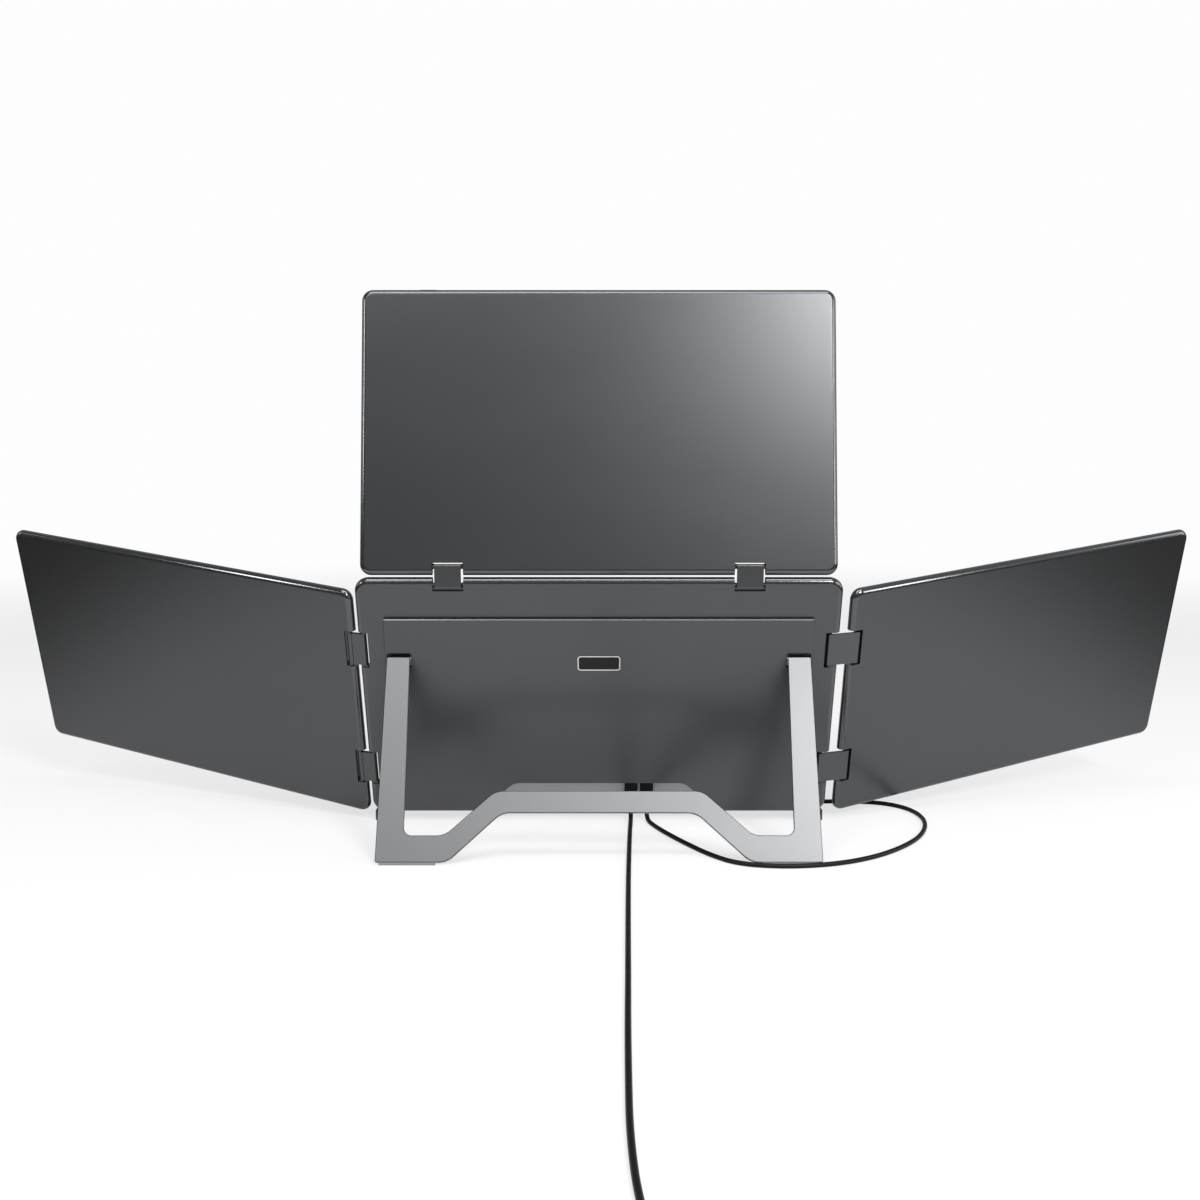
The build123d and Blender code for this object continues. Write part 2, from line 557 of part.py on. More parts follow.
def stand_brackets():
    """Steel ears beside each leg top, in the raised plate's recess, and their pins."""
    ears, pins = [], []
    round_top = STAND_PIN + STAND_EAR_WALL
    for side in (1, -1):
        barrel, places = leg_parts(side)
        for low, high in places:
            axis = ((low, STAND_HINGE, STAND_AXIS_Z), (high, STAND_HINGE, STAND_AXIS_Z))
            ear = block((low, STAND_HINGE - 5, STAND_AXIS_Z - round_top + 0.05), (high, STAND_HINGE, -HALF_CENTRE))
            ear += block((low, STAND_HINGE, STAND_AXIS_Z), (high, STAND_HINGE + round_top, -HALF_CENTRE))
            ears.append(ear + rod(*axis, round_top) - rod(*axis, STAND_PIN))
        ends = (places[0][0], places[1][1]) if side > 0 else (places[1][0], places[0][1])
        pins.append(rod((ends[0], STAND_HINGE, STAND_AXIS_Z), (ends[1], STAND_HINGE, STAND_AXIS_Z), STAND_PIN))
    return {"stand_hinge_brackets": join(ears), "stand_hinge_pins": join(pins)}


# ---------------------------------------------------------------- stand
def stand_outline():
    """The stand's flat pattern: X across, Y up from the axis, feet at the bottom."""
    foot = -STAND_LENGTH
    rise = BAR_LOW
    low_knee = STAND_HALF_WIDTH - FOOT_RUN - 2.5
    low_bend = low_knee - rise * 1.083
    high_knee = low_knee + 2.5
    high_bend = high_knee - (BAR_HIGH - FOOT_HEIGHT) * 1.11
    leg_top = STAND_HALF_WIDTH - LEG_TOP_WIDTH
    leg_foot = STAND_HALF_WIDTH - LEG_FOOT_WIDTH
    top = 0.0
    half = [
        (leg_top, top, 0.6), (STAND_HALF_WIDTH, top, 0.6), (STAND_HALF_WIDTH, foot, 1.5),
        (low_knee, foot, BEND_RADIUS), (low_bend, foot + BAR_LOW, BEND_RADIUS)]
    inner = [
        (high_bend, foot + BAR_HIGH, BEND_RADIUS), (high_knee, foot + FOOT_HEIGHT, BEND_RADIUS),
        (leg_foot, foot + FOOT_HEIGHT, HOLE_RADIUS)]
    mirrored = [(-x, y, r) for x, y, r in reversed(half)]
    back = [(-x, y, r) for x, y, r in reversed(inner)]
    loop = half + mirrored + back + inner
    return outline([(x, y) for x, y, r in loop], [r for x, y, r in loop])


def stand_nodes():
    """The stand, folded flat on the raised plate, in the centre panel's frame."""
    low = STAND_FOLDED_Z - STAND_THICKNESS / 2
    plate = Pos(0, STAND_HINGE, low) * extrude(stand_outline(), STAND_THICKNESS)
    edges = plate.faces().sort_by(Axis.Z)[0].edges() + plate.faces().sort_by(Axis.Z)[-1].edges()
    plate = chamfer(edges, STAND_EDGE)
    for side in (1, -1):
        (start, end), ears = leg_parts(side)
        barrel = rod((start, STAND_HINGE, STAND_AXIS_Z), (end, STAND_HINGE, STAND_AXIS_Z), STAND_BARREL)
        neck = block((start, STAND_HINGE - STAND_BARREL, low + STAND_THICKNESS / 2),
                     (end, STAND_HINGE, STAND_AXIS_Z))
        bore = rod((start - 1, STAND_HINGE, STAND_AXIS_Z), (end + 1, STAND_HINGE, STAND_AXIS_Z),
                   STAND_PIN + PIN_CLEARANCE)
        plate = plate + barrel + neck - bore
    return plate


def stand_angle():
    """Opening angle at which the pads under the feet meet the table."""
    axis = CENTRE_FRAME * Location((0, STAND_HINGE, STAND_AXIS_Z))
    height = axis.position.Z
    offset = STAND_AXIS_Z - STAND_FOLDED_Z - STAND_THICKNESS / 2
    best = 0.0
    for step in range(9001):
        swing = math.radians(step / 100)
        from_vertical = swing - math.radians(LEAN)
        low = height - STAND_LENGTH * math.cos(from_vertical) + offset * math.sin(from_vertical)
        if low - STAND_PAD >= 0:
            best = step / 100
            break
    return best


STAND_OPEN = stand_angle()
STAND_AXIS = Pos(0, STAND_HINGE, STAND_AXIS_Z)
STAND_FRAME = CENTRE_FRAME * STAND_AXIS * Rot(STAND_OPEN, 0, 0) * STAND_AXIS.inverse()


def stand_pads():
    """Rubber strips under the feet, cut level with the table when the stand is open."""
    table = Location(STAND_FRAME.inverse())
    low = STAND_FOLDED_Z - STAND_THICKNESS / 2
    pads = []
    for side in (1, -1):
        xs = sorted((side * (STAND_HALF_WIDTH - 3), side * (STAND_HALF_WIDTH - FOOT_RUN + 6)))
        strip = block((xs[0], STAND_HINGE - STAND_LENGTH - 5, low + 0.3),
                      (xs[1], STAND_HINGE - STAND_LENGTH, low + STAND_THICKNESS - 0.3))
        ground = table * block((-500, -500, -50), (500, 500, 0))
        pads.append(strip - ground)
    return join(pads)


# ---------------------------------------------------------------- cords
CORD_Z = CORD_DIAMETER / 2 + CORD_REST
EXIT_UP = BAY_TOP - PLUG_LENGTH - PLUG_RELIEF - PLUG_SHOULDER


def cord_exit(x):
    """Where a cord leaves its plug at the port bay."""
    return (CENTRE_FRAME * Location((x, EXIT_UP, PLUG_Z))).position


def cable_plug():
    """A cable-end plug along Z: a sleeve to enter the port, a grip and a tapered relief behind."""
    back = -PLUG_SHOULDER - PLUG_LENGTH
    grip = Pos(0, 0, back) * extrude(RectangleRounded(PLUG_WIDTH, PLUG_THICKNESS, 2.2), PLUG_LENGTH)
    grip = fillet(grip.faces().sort_by(Axis.Z)[0].edges(), 0.8)
    taper = Pos(0, 0, back) * Rot(180, 0, 0) * Cone(
        CORD_DIAMETER / 2 + 0.8, CORD_DIAMETER / 2 + 0.25, PLUG_RELIEF,
        align=(Align.CENTER, Align.CENTER, Align.MIN))
    width = SOCKET_WIDTH - 2 * SOCKET_WALL - 2 * SLEEVE_FIT
    height = SOCKET_HEIGHT - 2 * SOCKET_WALL - 2 * SLEEVE_FIT
    sleeve = stadium(width, height, SLEEVE_LENGTH)
    sleeve -= Pos(0, 0, 0.8) * stadium(width - 0.6, height - 0.6, SLEEVE_LENGTH)
    return grip + taper + Pos(0, 0, -PLUG_SHOULDER) * sleeve


def tube(points, name):
    """A cord along straight runs joined by arcs as large as the runs allow."""
    route = [Vector(*p) for p in points]
    radii = []
    for before, here, after in zip(route, route[1:], route[2:]):
        turn = (here - before).get_angle(after - here)
        shorter = min((here - before).length, (after - here).length)
        radii.append(0.45 * shorter / math.tan(math.radians(turn / 2)))
    print(name, "radii", [round(r, 1) for r in radii])
    path = FilletPolyline(*route, radius=radii)
    section = Plane(origin=route[0], z_dir=route[1] - route[0]) * Circle(CORD_DIAMETER / 2)
    solid = sweep(section, path=path)
    print(name, "length", round(path.length, 1), "volume ratio",
          round(solid.volume / (math.pi * CORD_DIAMETER ** 2 / 4 * path.length), 4))
    return solid


POWER_EXIT = cord_exit(PLUG_X[0])
SIGNAL_EXIT = cord_exit(PLUG_X[1])
POWER_ROUTE = [
    (-26.0, POWER_EXIT.Y, POWER_EXIT.Z), (-26.0, POWER_EXIT.Y - 3.14, POWER_EXIT.Z - 9.38),
    (-25.9, 11.2, CORD_Z), (-25.2, 26.0, CORD_Z), (-24.0, 54.0, CORD_Z), (-22.3, 104.0, CORD_Z),
    (-20.6, 160.0, CORD_Z), (-19.2, 216.0, CORD_Z), (-17.9, 272.0, CORD_Z), (-16.7, 328.0, CORD_Z),
    (-15.3, 384.0, CORD_Z), (-14.3, 440.0, CORD_Z), (-13.6, 496.0, CORD_Z), (-16.0, 548.0, CORD_Z),
    (-24.0, 590.0, CORD_Z)]
SIGNAL_ROUTE = [
    (-38.6, SIGNAL_EXIT.Y, SIGNAL_EXIT.Z), (-38.6, SIGNAL_EXIT.Y - 3.14, SIGNAL_EXIT.Z - 9.38),
    (-39.2, 11.2, CORD_Z), (-43.0, 26.0, CORD_Z), (-53.0, 50.0, CORD_Z), (-67.0, 78.0, CORD_Z),
    (-83.0, 106.0, CORD_Z), (-101.0, 126.0, CORD_Z), (-132.0, 132.5, CORD_Z), (-168.0, 128.0, CORD_Z),
    (-201.0, 112.0, CORD_Z), (-230.0, 86.0, CORD_Z), (-253.0, 54.0, CORD_Z), (-266.0, 14.0, CORD_Z),
    (-262.0, -20.0, CORD_Z), (-243.0, -40.0, CORD_Z), (-214.0, -45.0, CORD_Z), (-182.0, -44.0, CORD_Z),
    (-146.0, -50.0, CORD_Z), (-106.0, -61.0, CORD_Z), (-66.0, -66.0, CORD_Z)]


@dataclass(frozen=True)
class Coil:
    """The put-away end of a cord: neat turns that it runs into and leaves along a tangent."""
    route: list
    winding: int         # 1 is anticlockwise seen from above
    leaves_after: float  # part turn between the way in and the way out, degrees

    @property
    def mid_radius(self):
        return COIL_TURN_DIAMETER / 2

    @property
    def outer_radius(self):
        return self.mid_radius + CORD_DIAMETER

    @property
    def approach(self):
        """Straight stretch between the coil's outer form and the tangent point."""
        inner_side = self.mid_radius - CORD_DIAMETER / 2
        return math.sqrt(self.outer_radius ** 2 - inner_side ** 2) + COIL_SEAT

    @property
    def heading(self):
        run = Vector(*self.route[-1]) - Vector(*self.route[-2])
        return Vector(run.X, run.Y, 0).normalized()

    @property
    def middle(self):
        to_middle = self.heading.rotate(Axis.Z, 90 * self.winding)
        end = Vector(self.route[-1][0], self.route[-1][1], 0)
        return end + self.heading * self.approach + to_middle * self.mid_radius

    def solid(self):
        height = 2 * CORD_DIAMETER
        ring = Cylinder(self.outer_radius, height, align=(Align.CENTER, Align.CENTER, Align.MIN))
        ring -= Cylinder(self.mid_radius - CORD_DIAMETER, 3 * height)
        lead = rod(self.leaving_point(self.mid_radius / 2), self.leaving_point(self.approach + LEAD_OUT - COIL_SEAT),
                   CORD_DIAMETER / 2)
        lead -= Pos(self.middle.X, self.middle.Y, 0) * Cylinder(self.outer_radius - 1, 5 * height)
        return Pos(self.middle.X, self.middle.Y, CORD_REST) * ring + lead

    @property
    def way_out(self):
        return self.heading.rotate(Axis.Z, self.winding * self.leaves_after)

    def leaving_point(self, along):
        """A point of the last stretch, which leaves the turns along a tangent."""
        from_middle = self.way_out.rotate(Axis.Z, -90 * self.winding) * self.mid_radius
        return self.middle + from_middle + self.way_out * along + Vector(0, 0, PLUG_THICKNESS / 2 + CORD_REST)

    def far_plug(self):
        """The plug on the cord's far end, flat on the table where the last turn leaves."""
        place = self.leaving_point(self.approach + LEAD_OUT + PLUG_LENGTH + PLUG_RELIEF + PLUG_SHOULDER)
        turn = math.degrees(math.atan2(self.way_out.Y, self.way_out.X))
        return Pos(*place) * Rot(0, 0, turn) * Rot(0, 90, 0) * Rot(0, 0, 90) * cable_plug()


def coil_nodes(name, route, winding, leaves_after):
    """A cord's coil and the plug at its end."""
    form = Coil(route, winding, leaves_after)
    return {f"{name}_coil": form.solid(), f"{name}_far_plug": form.far_plug()}


def cord_nodes():
    """Both cords: plugs at the ports, the laid tubes, the coils and the far plugs."""
    nodes = {}
    for name, x, route, winding, leaves_after in (
            ("power_cord", PLUG_X[0], POWER_ROUTE, 1, 90), ("signal_cord", PLUG_X[1], SIGNAL_ROUTE, -1, 180)):
        nodes[f"{name}_plug"] = CENTRE_FRAME * socket_place(x) * cable_plug()
        nodes[f"{name}_tube"] = tube(route, name)
        nodes.update(coil_nodes(name, route, winding, leaves_after))
    return nodes


# ---------------------------------------------------------------- assembly
def build():
    """Every node in the world frame."""
    nodes = {name: CENTRE_FRAME * shape for name, shape in {**centre_nodes(), **stand_brackets()}.items()}
    for wing in WINGS:
        for name, shape in screen_nodes(wing).items():
            nodes[name] = wing.screen_frame * shape
        links = join(at_hinges(wing, hinge_link(wing)))
        nodes[f"{wing.name}_hinge_links"] = wing.link_frame * links
    nodes["stand_frame"] = STAND_FRAME * stand_nodes()
    nodes["stand_foot_pads"] = STAND_FRAME * stand_pads()
    nodes.update(cord_nodes())
    return nodes


def main():
    os.makedirs("parts", exist_ok=True)
    for name, shape in build().items():
        solids = shape.solids()
        export_step(solids[0] if len(solids) == 1 else Compound(children=solids), f"parts/{name}.step")


if __name__ == "__main__":
    main()
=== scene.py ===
"""Looks of a screen extender: three folding screens on a leaning panel with a fold-out stand.

The rigid pieces keep their own meshes and take a finish each. The cords and their plugs are
surfaces worked out here. Lengths in the classes are millimetres; Blender gets metres.
"""

from __future__ import annotations

import itertools
import json
import logging
import math
from dataclasses import dataclass, field
from enum import Enum

import bpy
import numpy as np
from mathutils import Matrix, Vector

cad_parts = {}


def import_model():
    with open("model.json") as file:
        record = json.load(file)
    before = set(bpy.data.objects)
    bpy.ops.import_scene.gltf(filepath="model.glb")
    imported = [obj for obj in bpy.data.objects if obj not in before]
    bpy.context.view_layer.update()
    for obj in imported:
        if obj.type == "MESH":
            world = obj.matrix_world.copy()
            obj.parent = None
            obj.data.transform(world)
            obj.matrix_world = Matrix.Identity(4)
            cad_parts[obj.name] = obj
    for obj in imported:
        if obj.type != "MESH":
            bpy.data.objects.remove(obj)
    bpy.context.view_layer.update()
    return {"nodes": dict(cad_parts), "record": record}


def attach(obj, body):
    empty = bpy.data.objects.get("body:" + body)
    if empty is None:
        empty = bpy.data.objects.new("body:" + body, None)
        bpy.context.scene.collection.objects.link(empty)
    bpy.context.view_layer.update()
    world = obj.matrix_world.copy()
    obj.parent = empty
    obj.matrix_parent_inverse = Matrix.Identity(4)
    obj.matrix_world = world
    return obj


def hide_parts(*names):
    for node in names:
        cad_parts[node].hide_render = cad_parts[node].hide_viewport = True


log = logging.getLogger("screen_extender")

MM = 0.001
Colour = tuple[float, float, float]
Point = tuple[float, float, float]
Faces = list[list[int]]


# ------------------------------------------------------------------ mesh helpers
def millimetres(points: np.ndarray) -> np.ndarray:
    """Returns millimetre points in metres."""
    return np.asarray(points, dtype=float) * MM


def add_mesh(name: str, vertices: np.ndarray, faces: Faces,
             crease: float = 35.0) -> bpy.types.Object:
    """Makes one mesh object whose faces point outwards.

    The signed volume of the faces' fans tells which way round they are; a negative sum turns
    every face.

    Args:
        name: the object's name.
        vertices: array of points in metres.
        faces: vertex numbers of each face.
        crease: edges that bend more than this, in degrees, stay sharp.

    Returns:
        The object, linked to the scene.
    """
    volume = 0.0
    for face in faces:
        first = vertices[face[0]]
        ring = vertices[face]
        volume += float(np.einsum("i,ji->", first, np.cross(ring[1:-1], ring[2:])))
    if volume < 0:
        faces = [face[::-1] for face in faces]
    mesh = bpy.data.meshes.new(name)
    mesh.from_pydata(vertices.tolist(), [], faces)
    mesh.validate()
    mesh.shade_smooth()
    mesh.set_sharp_from_angle(angle=math.radians(crease))
    obj = bpy.data.objects.new(name, mesh)
    bpy.context.scene.collection.objects.link(obj)
    return obj


def loft(name: str, rings: np.ndarray, crease: float = 35.0) -> bpy.types.Object:
    """Skins a stack of closed rings and closes both ends with a face.

    Vertex (i, j) is point j of ring i; face (i, j) joins points j and j+1 of rings i and i+1,
    with j taken round the ring.

    Args:
        name: the object's name.
        rings: array (rings, points, 3) in metres.
        crease: angle of sharp edges in degrees.

    Returns:
        The object.
    """
    rows, count = rings.shape[:2]
    here = np.arange(count)
    after = np.roll(here, -1)
    faces: Faces = []
    for row in range(rows - 1):
        low, high = row * count, (row + 1) * count
        faces += np.stack([low + here, low + after, high + after, high + here], axis=1).tolist()
    faces.append(here[::-1].tolist())
    faces.append(((rows - 1) * count + here).tolist())
    return add_mesh(name, rings.reshape(-1, 3), faces, crease)


def tower(rows: np.ndarray, count: int) -> np.ndarray:
    """Superellipses one above the other.

    Ring k lies at the height z_k and is |x/a_k|^p_k + |y/b_k|^p_k = 1, at even steps of its
    angle. A power of 2 gives an ellipse, and a larger one a squarer shape.

    Args:
        rows: array (rings, 4) of z, a, b and p.
        count: number of points on each ring.

    Returns:
        Array (rings, count, 3).
    """
    height, wide, tall, power = rows.T[:, :, None]
    angle = np.linspace(0, 2 * np.pi, count, endpoint=False)
    cos, sin = np.cos(angle), np.sin(angle)
    return np.stack([wide * np.sign(cos) * np.abs(cos) ** (2 / power),
                     tall * np.sign(sin) * np.abs(sin) ** (2 / power),
                     height * np.ones(count)], axis=-1)


def ring_rows(height: np.ndarray, wide: np.ndarray, tall: np.ndarray, power: float) -> np.ndarray:
    """Returns one row of height, half sizes and power for each ring, for tower."""
    return np.column_stack(np.broadcast_arrays(height, wide, tall, power))


def place(rings: np.ndarray, matrix: Matrix) -> np.ndarray:
    """Carries points through a matrix: R p + t for every point.

    Args:
        rings: points, with x, y and z along the last axis.
        matrix: the turn R and the shift t.

    Returns:
        The carried points in the same layout.
    """
    turn = np.array(matrix.to_3x3())
    shift = np.array(matrix.translation)
    return rings @ turn.T + shift


# ------------------------------------------------------------------ finishes
class Sockets:
    """Adds nodes to a tree and links them by name."""

    def __init__(self, tree: bpy.types.NodeTree) -> None:
        """Keeps the tree that the nodes go into."""
        self.tree = tree

    def node(self, kind: str, **values: object) -> bpy.types.Node:
        """Adds a node.

        Args:
            kind: Blender's name of the node type.
            **values: attributes, or inputs written with a capital first letter.

        Returns:
            The node.
        """
        made = self.tree.nodes.new(kind)
        for key, value in values.items():
            if key[0].isupper():
                made.inputs[key.replace("_", " ")].default_value = value
            else:
                setattr(made, key, value)
        return made

    def link(self, source: bpy.types.NodeSocket, target: bpy.types.NodeSocket) -> None:
        """Joins an output to an input."""
        self.tree.links.new(source, target)


GroupStart = tuple[bpy.types.NodeTree, Sockets, bpy.types.Node, bpy.types.Node]


class SharedEffects:
    """Node groups that several finishes use, each made once."""

    slow_noise_share = 6.0
    cloud_scale = 9.0
    wipe_scale = (6.0, 14.0, 22.0)
    wipe_turn = (0.3, 0.5, 0.2)
    rim_starts, rim_full = 0.996, 0.97

    def __init__(self) -> None:
        """Makes each group once."""
        self.grain = self._grain()
        self.handling = self._handling()
        self.rim = self._rim()

    @staticmethod
    def _group(name: str, inputs: dict[str, float], outputs: list[str]) -> GroupStart:
        """Starts a group with float sockets.

        Args:
            name: the group's name.
            inputs: socket names and defaults.
            outputs: socket names.

        Returns:
            The tree, its helper, and its input and output nodes.
        """
        tree = bpy.data.node_groups.new(name, "ShaderNodeTree")
        for key, value in inputs.items():
            socket = tree.interface.new_socket(key, in_out="INPUT", socket_type="NodeSocketFloat")
            socket.default_value = value
        for key in outputs:
            tree.interface.new_socket(key, in_out="OUTPUT", socket_type="NodeSocketFloat")
        tools = Sockets(tree)
        return tree, tools, tools.node("NodeGroupInput"), tools.node("NodeGroupOutput")

    def _grain(self) -> bpy.types.NodeTree:
        """Blasted grain: fine noise plus a share of slower noise.

        Height = noise(p * Pitch) mixed with noise(p * Pitch / 6) by Softness. Tone = 1 +
        Contrast * (cloud - 0.5), a gentle cloudiness of the colour.

        Returns:
            The group.
        """
        tree, tools, entry, leave = self._group(
            "blasted_grain", {"Pitch": 2000.0, "Softness": 0.35, "Contrast": 0.1},
            ["Height", "Tone"])
        where = tools.node("ShaderNodeTexCoord")
        fine = tools.node("ShaderNodeTexNoise", Detail=3.0, Roughness=0.6)
        slower = tools.node("ShaderNodeTexNoise", Detail=2.0, Roughness=0.5)
        cloud = tools.node("ShaderNodeTexNoise", Detail=3.0, Roughness=0.55,
                           Scale=self.cloud_scale)
        divide = tools.node("ShaderNodeMath", operation="DIVIDE")
        divide.inputs[1].default_value = self.slow_noise_share
        mix = tools.node("ShaderNodeMix", data_type="FLOAT")
        centre = tools.node("ShaderNodeMath", operation="SUBTRACT")
        centre.inputs[1].default_value = 0.5
        gain = tools.node("ShaderNodeMath", operation="MULTIPLY_ADD")
        gain.inputs[2].default_value = 1.0
        for noise in (fine, slower, cloud):
            tools.link(where.outputs["Object"], noise.inputs["Vector"])
        tools.link(entry.outputs["Pitch"], fine.inputs["Scale"])
        tools.link(entry.outputs["Pitch"], divide.inputs[0])
        tools.link(divide.outputs[0], slower.inputs["Scale"])
        tools.link(entry.outputs["Softness"], mix.inputs["Factor"])
        tools.link(fine.outputs["Fac"], mix.inputs[2])
        tools.link(slower.outputs["Fac"], mix.inputs[3])
        tools.link(mix.outputs[0], leave.inputs["Height"])
        tools.link(cloud.outputs["Fac"], centre.inputs[0])
        tools.link(centre.outputs[0], gain.inputs[0])
        tools.link(entry.outputs["Contrast"], gain.inputs[1])
        tools.link(gain.outputs[0], leave.inputs["Tone"])
        return tree

    def _handling(self) -> bpy.types.NodeTree:
        """Faint wipe marks and touch: Roughness = Base + Amount * (stretched noise - 0.5).

        Returns:
            The group.
        """
        tree, tools, entry, leave = self._group(
            "handling_marks", {"Base": 0.4, "Amount": 0.06}, ["Roughness"])
        where = tools.node("ShaderNodeTexCoord")
        stretch = tools.node("ShaderNodeMapping")
        stretch.inputs["Scale"].default_value = self.wipe_scale
        stretch.inputs["Rotation"].default_value = self.wipe_turn
        wipe = tools.node("ShaderNodeTexNoise", Detail=5.0, Roughness=0.6, Distortion=0.8,
                          Scale=1.0)
        centre = tools.node("ShaderNodeMath", operation="SUBTRACT")
        centre.inputs[1].default_value = 0.5
        gain = tools.node("ShaderNodeMath", operation="MULTIPLY_ADD")
        tools.link(where.outputs["Object"], stretch.inputs["Vector"])
        tools.link(stretch.outputs["Vector"], wipe.inputs["Vector"])
        tools.link(wipe.outputs["Fac"], centre.inputs[0])
        tools.link(centre.outputs[0], gain.inputs[0])
        tools.link(entry.outputs["Amount"], gain.inputs[1])
        tools.link(entry.outputs["Base"], gain.inputs[2])
        tools.link(gain.outputs[0], leave.inputs["Roughness"])
        return tree

    def _rim(self) -> bpy.types.NodeTree:
        """Rims of another polish than the face, where the surface turns away from it.

        Turned = |n . face|, going from the start of the rim to the full rim. There Roughness
        goes from Flat to Rim, and Tone from 1 to Rim Tone; a Rim Tone below 1 is painted shade.

        Returns:
            The group.
        """
        tree, tools, entry, leave = self._group(
            "rim_polish_and_painted_shade", {"Flat": 0.35, "Rim": 0.15, "Rim Tone": 0.6,
                             "Face X": 0.0, "Face Y": 1.0, "Face Z": 0.0}, ["Roughness", "Tone"])
        where = tools.node("ShaderNodeTexCoord")
        face = tools.node("ShaderNodeCombineXYZ")
        dot = tools.node("ShaderNodeVectorMath", operation="DOT_PRODUCT")
        size = tools.node("ShaderNodeMath", operation="ABSOLUTE")
        turned = tools.node("ShaderNodeMapRange", interpolation_type="SMOOTHSTEP",
                            From_Min=self.rim_starts, From_Max=self.rim_full)
        rough = tools.node("ShaderNodeMix", data_type="FLOAT")
        tone = tools.node("ShaderNodeMix", data_type="FLOAT")
        tone.inputs[2].default_value = 1.0
        for axis in "XYZ":
            tools.link(entry.outputs[f"Face {axis}"], face.inputs[axis])
        tools.link(where.outputs["Normal"], dot.inputs[0])
        tools.link(face.outputs["Vector"], dot.inputs[1])
        tools.link(dot.outputs["Value"], size.inputs[0])
        tools.link(size.outputs[0], turned.inputs["Value"])
        tools.link(turned.outputs["Result"], rough.inputs["Factor"])
        tools.link(entry.outputs["Flat"], rough.inputs[2])
        tools.link(entry.outputs["Rim"], rough.inputs[3])
        tools.link(rough.outputs[0], leave.inputs["Roughness"])
        tools.link(turned.outputs["Result"], tone.inputs["Factor"])
        tools.link(entry.outputs["Rim Tone"], tone.inputs[3])
        tools.link(tone.outputs[0], leave.inputs["Tone"])
        return tree


@dataclass(frozen=True)
class Finish:
    """A surface of one colour with a grain and faint handling marks.

    Where it has a face, a direction in the piece's own frame, the surface that turns away from
    that direction is a rim with its own roughness and tone.
    """

    name: str
    colour: Colour
    metallic: float
    roughness: float
    grain_mm: float = 0.5
    relief_mm: float = 0.01
    softness: float = 0.35
    cloudiness: float = 0.1
    marks: float = 0.06
    specular: float = 0.5
    coat: float = 0.0
    coat_roughness: float = 0.1
    face: Point | None = None
    rim_roughness: float = 0.13
    rim_tone: float = 1.2

    def build(self, effects: SharedEffects) -> bpy.types.Material:
        """Makes the material.

        Args:
            effects: the shared node groups.

        Returns:
            The material.
        """
        material = bpy.data.materials.new(self.name)
        material.use_nodes = True
        tools = Sockets(material.node_tree)
        shader = material.node_tree.nodes["Principled BSDF"]
        shader.inputs["Metallic"].default_value = self.metallic
        shader.inputs["Specular IOR Level"].default_value = self.specular
        shader.inputs["Coat Weight"].default_value = self.coat
        shader.inputs["Coat Roughness"].default_value = self.coat_roughness
        grain = tools.node("ShaderNodeGroup", node_tree=effects.grain)
        grain.inputs["Pitch"].default_value = 1.0 / (self.grain_mm * MM)
        grain.inputs["Softness"].default_value = self.softness
        grain.inputs["Contrast"].default_value = self.cloudiness
        marks = tools.node("ShaderNodeGroup", node_tree=effects.handling)
        marks.inputs["Base"].default_value = self.roughness
        marks.inputs["Amount"].default_value = self.marks
        rim = self._rim_node(tools, effects, marks)
        rough = marks if rim is None else rim
        tools.link(rough.outputs["Roughness"], shader.inputs["Roughness"])
        self._colour(tools, grain, rim, shader)
        bump = tools.node("ShaderNodeBump", Distance=self.relief_mm * MM, Strength=1.0)
        tools.link(grain.outputs["Height"], bump.inputs["Height"])
        tools.link(bump.outputs["Normal"], shader.inputs["Normal"])
        return material

    def _rim_node(self, tools: Sockets, effects: SharedEffects,
                  marks: bpy.types.Node) -> bpy.types.Node | None:
        """Adds the rim effect where the finish has a face.

        Args:
            tools: adds and links the material's nodes.
            effects: the shared node groups.
            marks: the node whose Roughness holds on the face.

        Returns:
            The rim's node, or None.
        """
        if self.face is None:
            return None
        rim = tools.node("ShaderNodeGroup", node_tree=effects.rim)
        rim.inputs["Rim"].default_value = self.rim_roughness
        rim.inputs["Rim Tone"].default_value = self.rim_tone
        for axis, value in zip("XYZ", self.face):
            rim.inputs[f"Face {axis}"].default_value = value
        tools.link(marks.outputs["Roughness"], rim.inputs["Flat"])
        return rim

    def _colour(self, tools: Sockets, grain: bpy.types.Node, rim: bpy.types.Node | None,
                shader: bpy.types.Node) -> None:
        """Base colour = colour * Tone, times the rim's Tone where there is one.

        Args:
            tools: adds and links the material's nodes.
            grain: the node that gives Tone.
            rim: the rim's node, or None.
            shader: the material's shader.
        """
        scale = tools.node("ShaderNodeVectorMath", operation="SCALE")
        scale.inputs[0].default_value = self.colour
        tone = grain.outputs["Tone"]
        if rim is not None:
            product = tools.node("ShaderNodeMath", operation="MULTIPLY")
            tools.link(tone, product.inputs[0])
            tools.link(rim.outputs["Tone"], product.inputs[1])
            tone = product.outputs[0]
        tools.link(tone, scale.inputs["Scale"])
        tools.link(scale.outputs["Vector"], shader.inputs["Base Color"])


# Angles at rest, in degrees: the centre panel's lean, the stand's opening and the bends between
# the centre panel and its screens.
LEAN = 18.5
STAND_OPEN = 44.56
SIDE_BEND = 22.5
TOP_BEND = 27.0


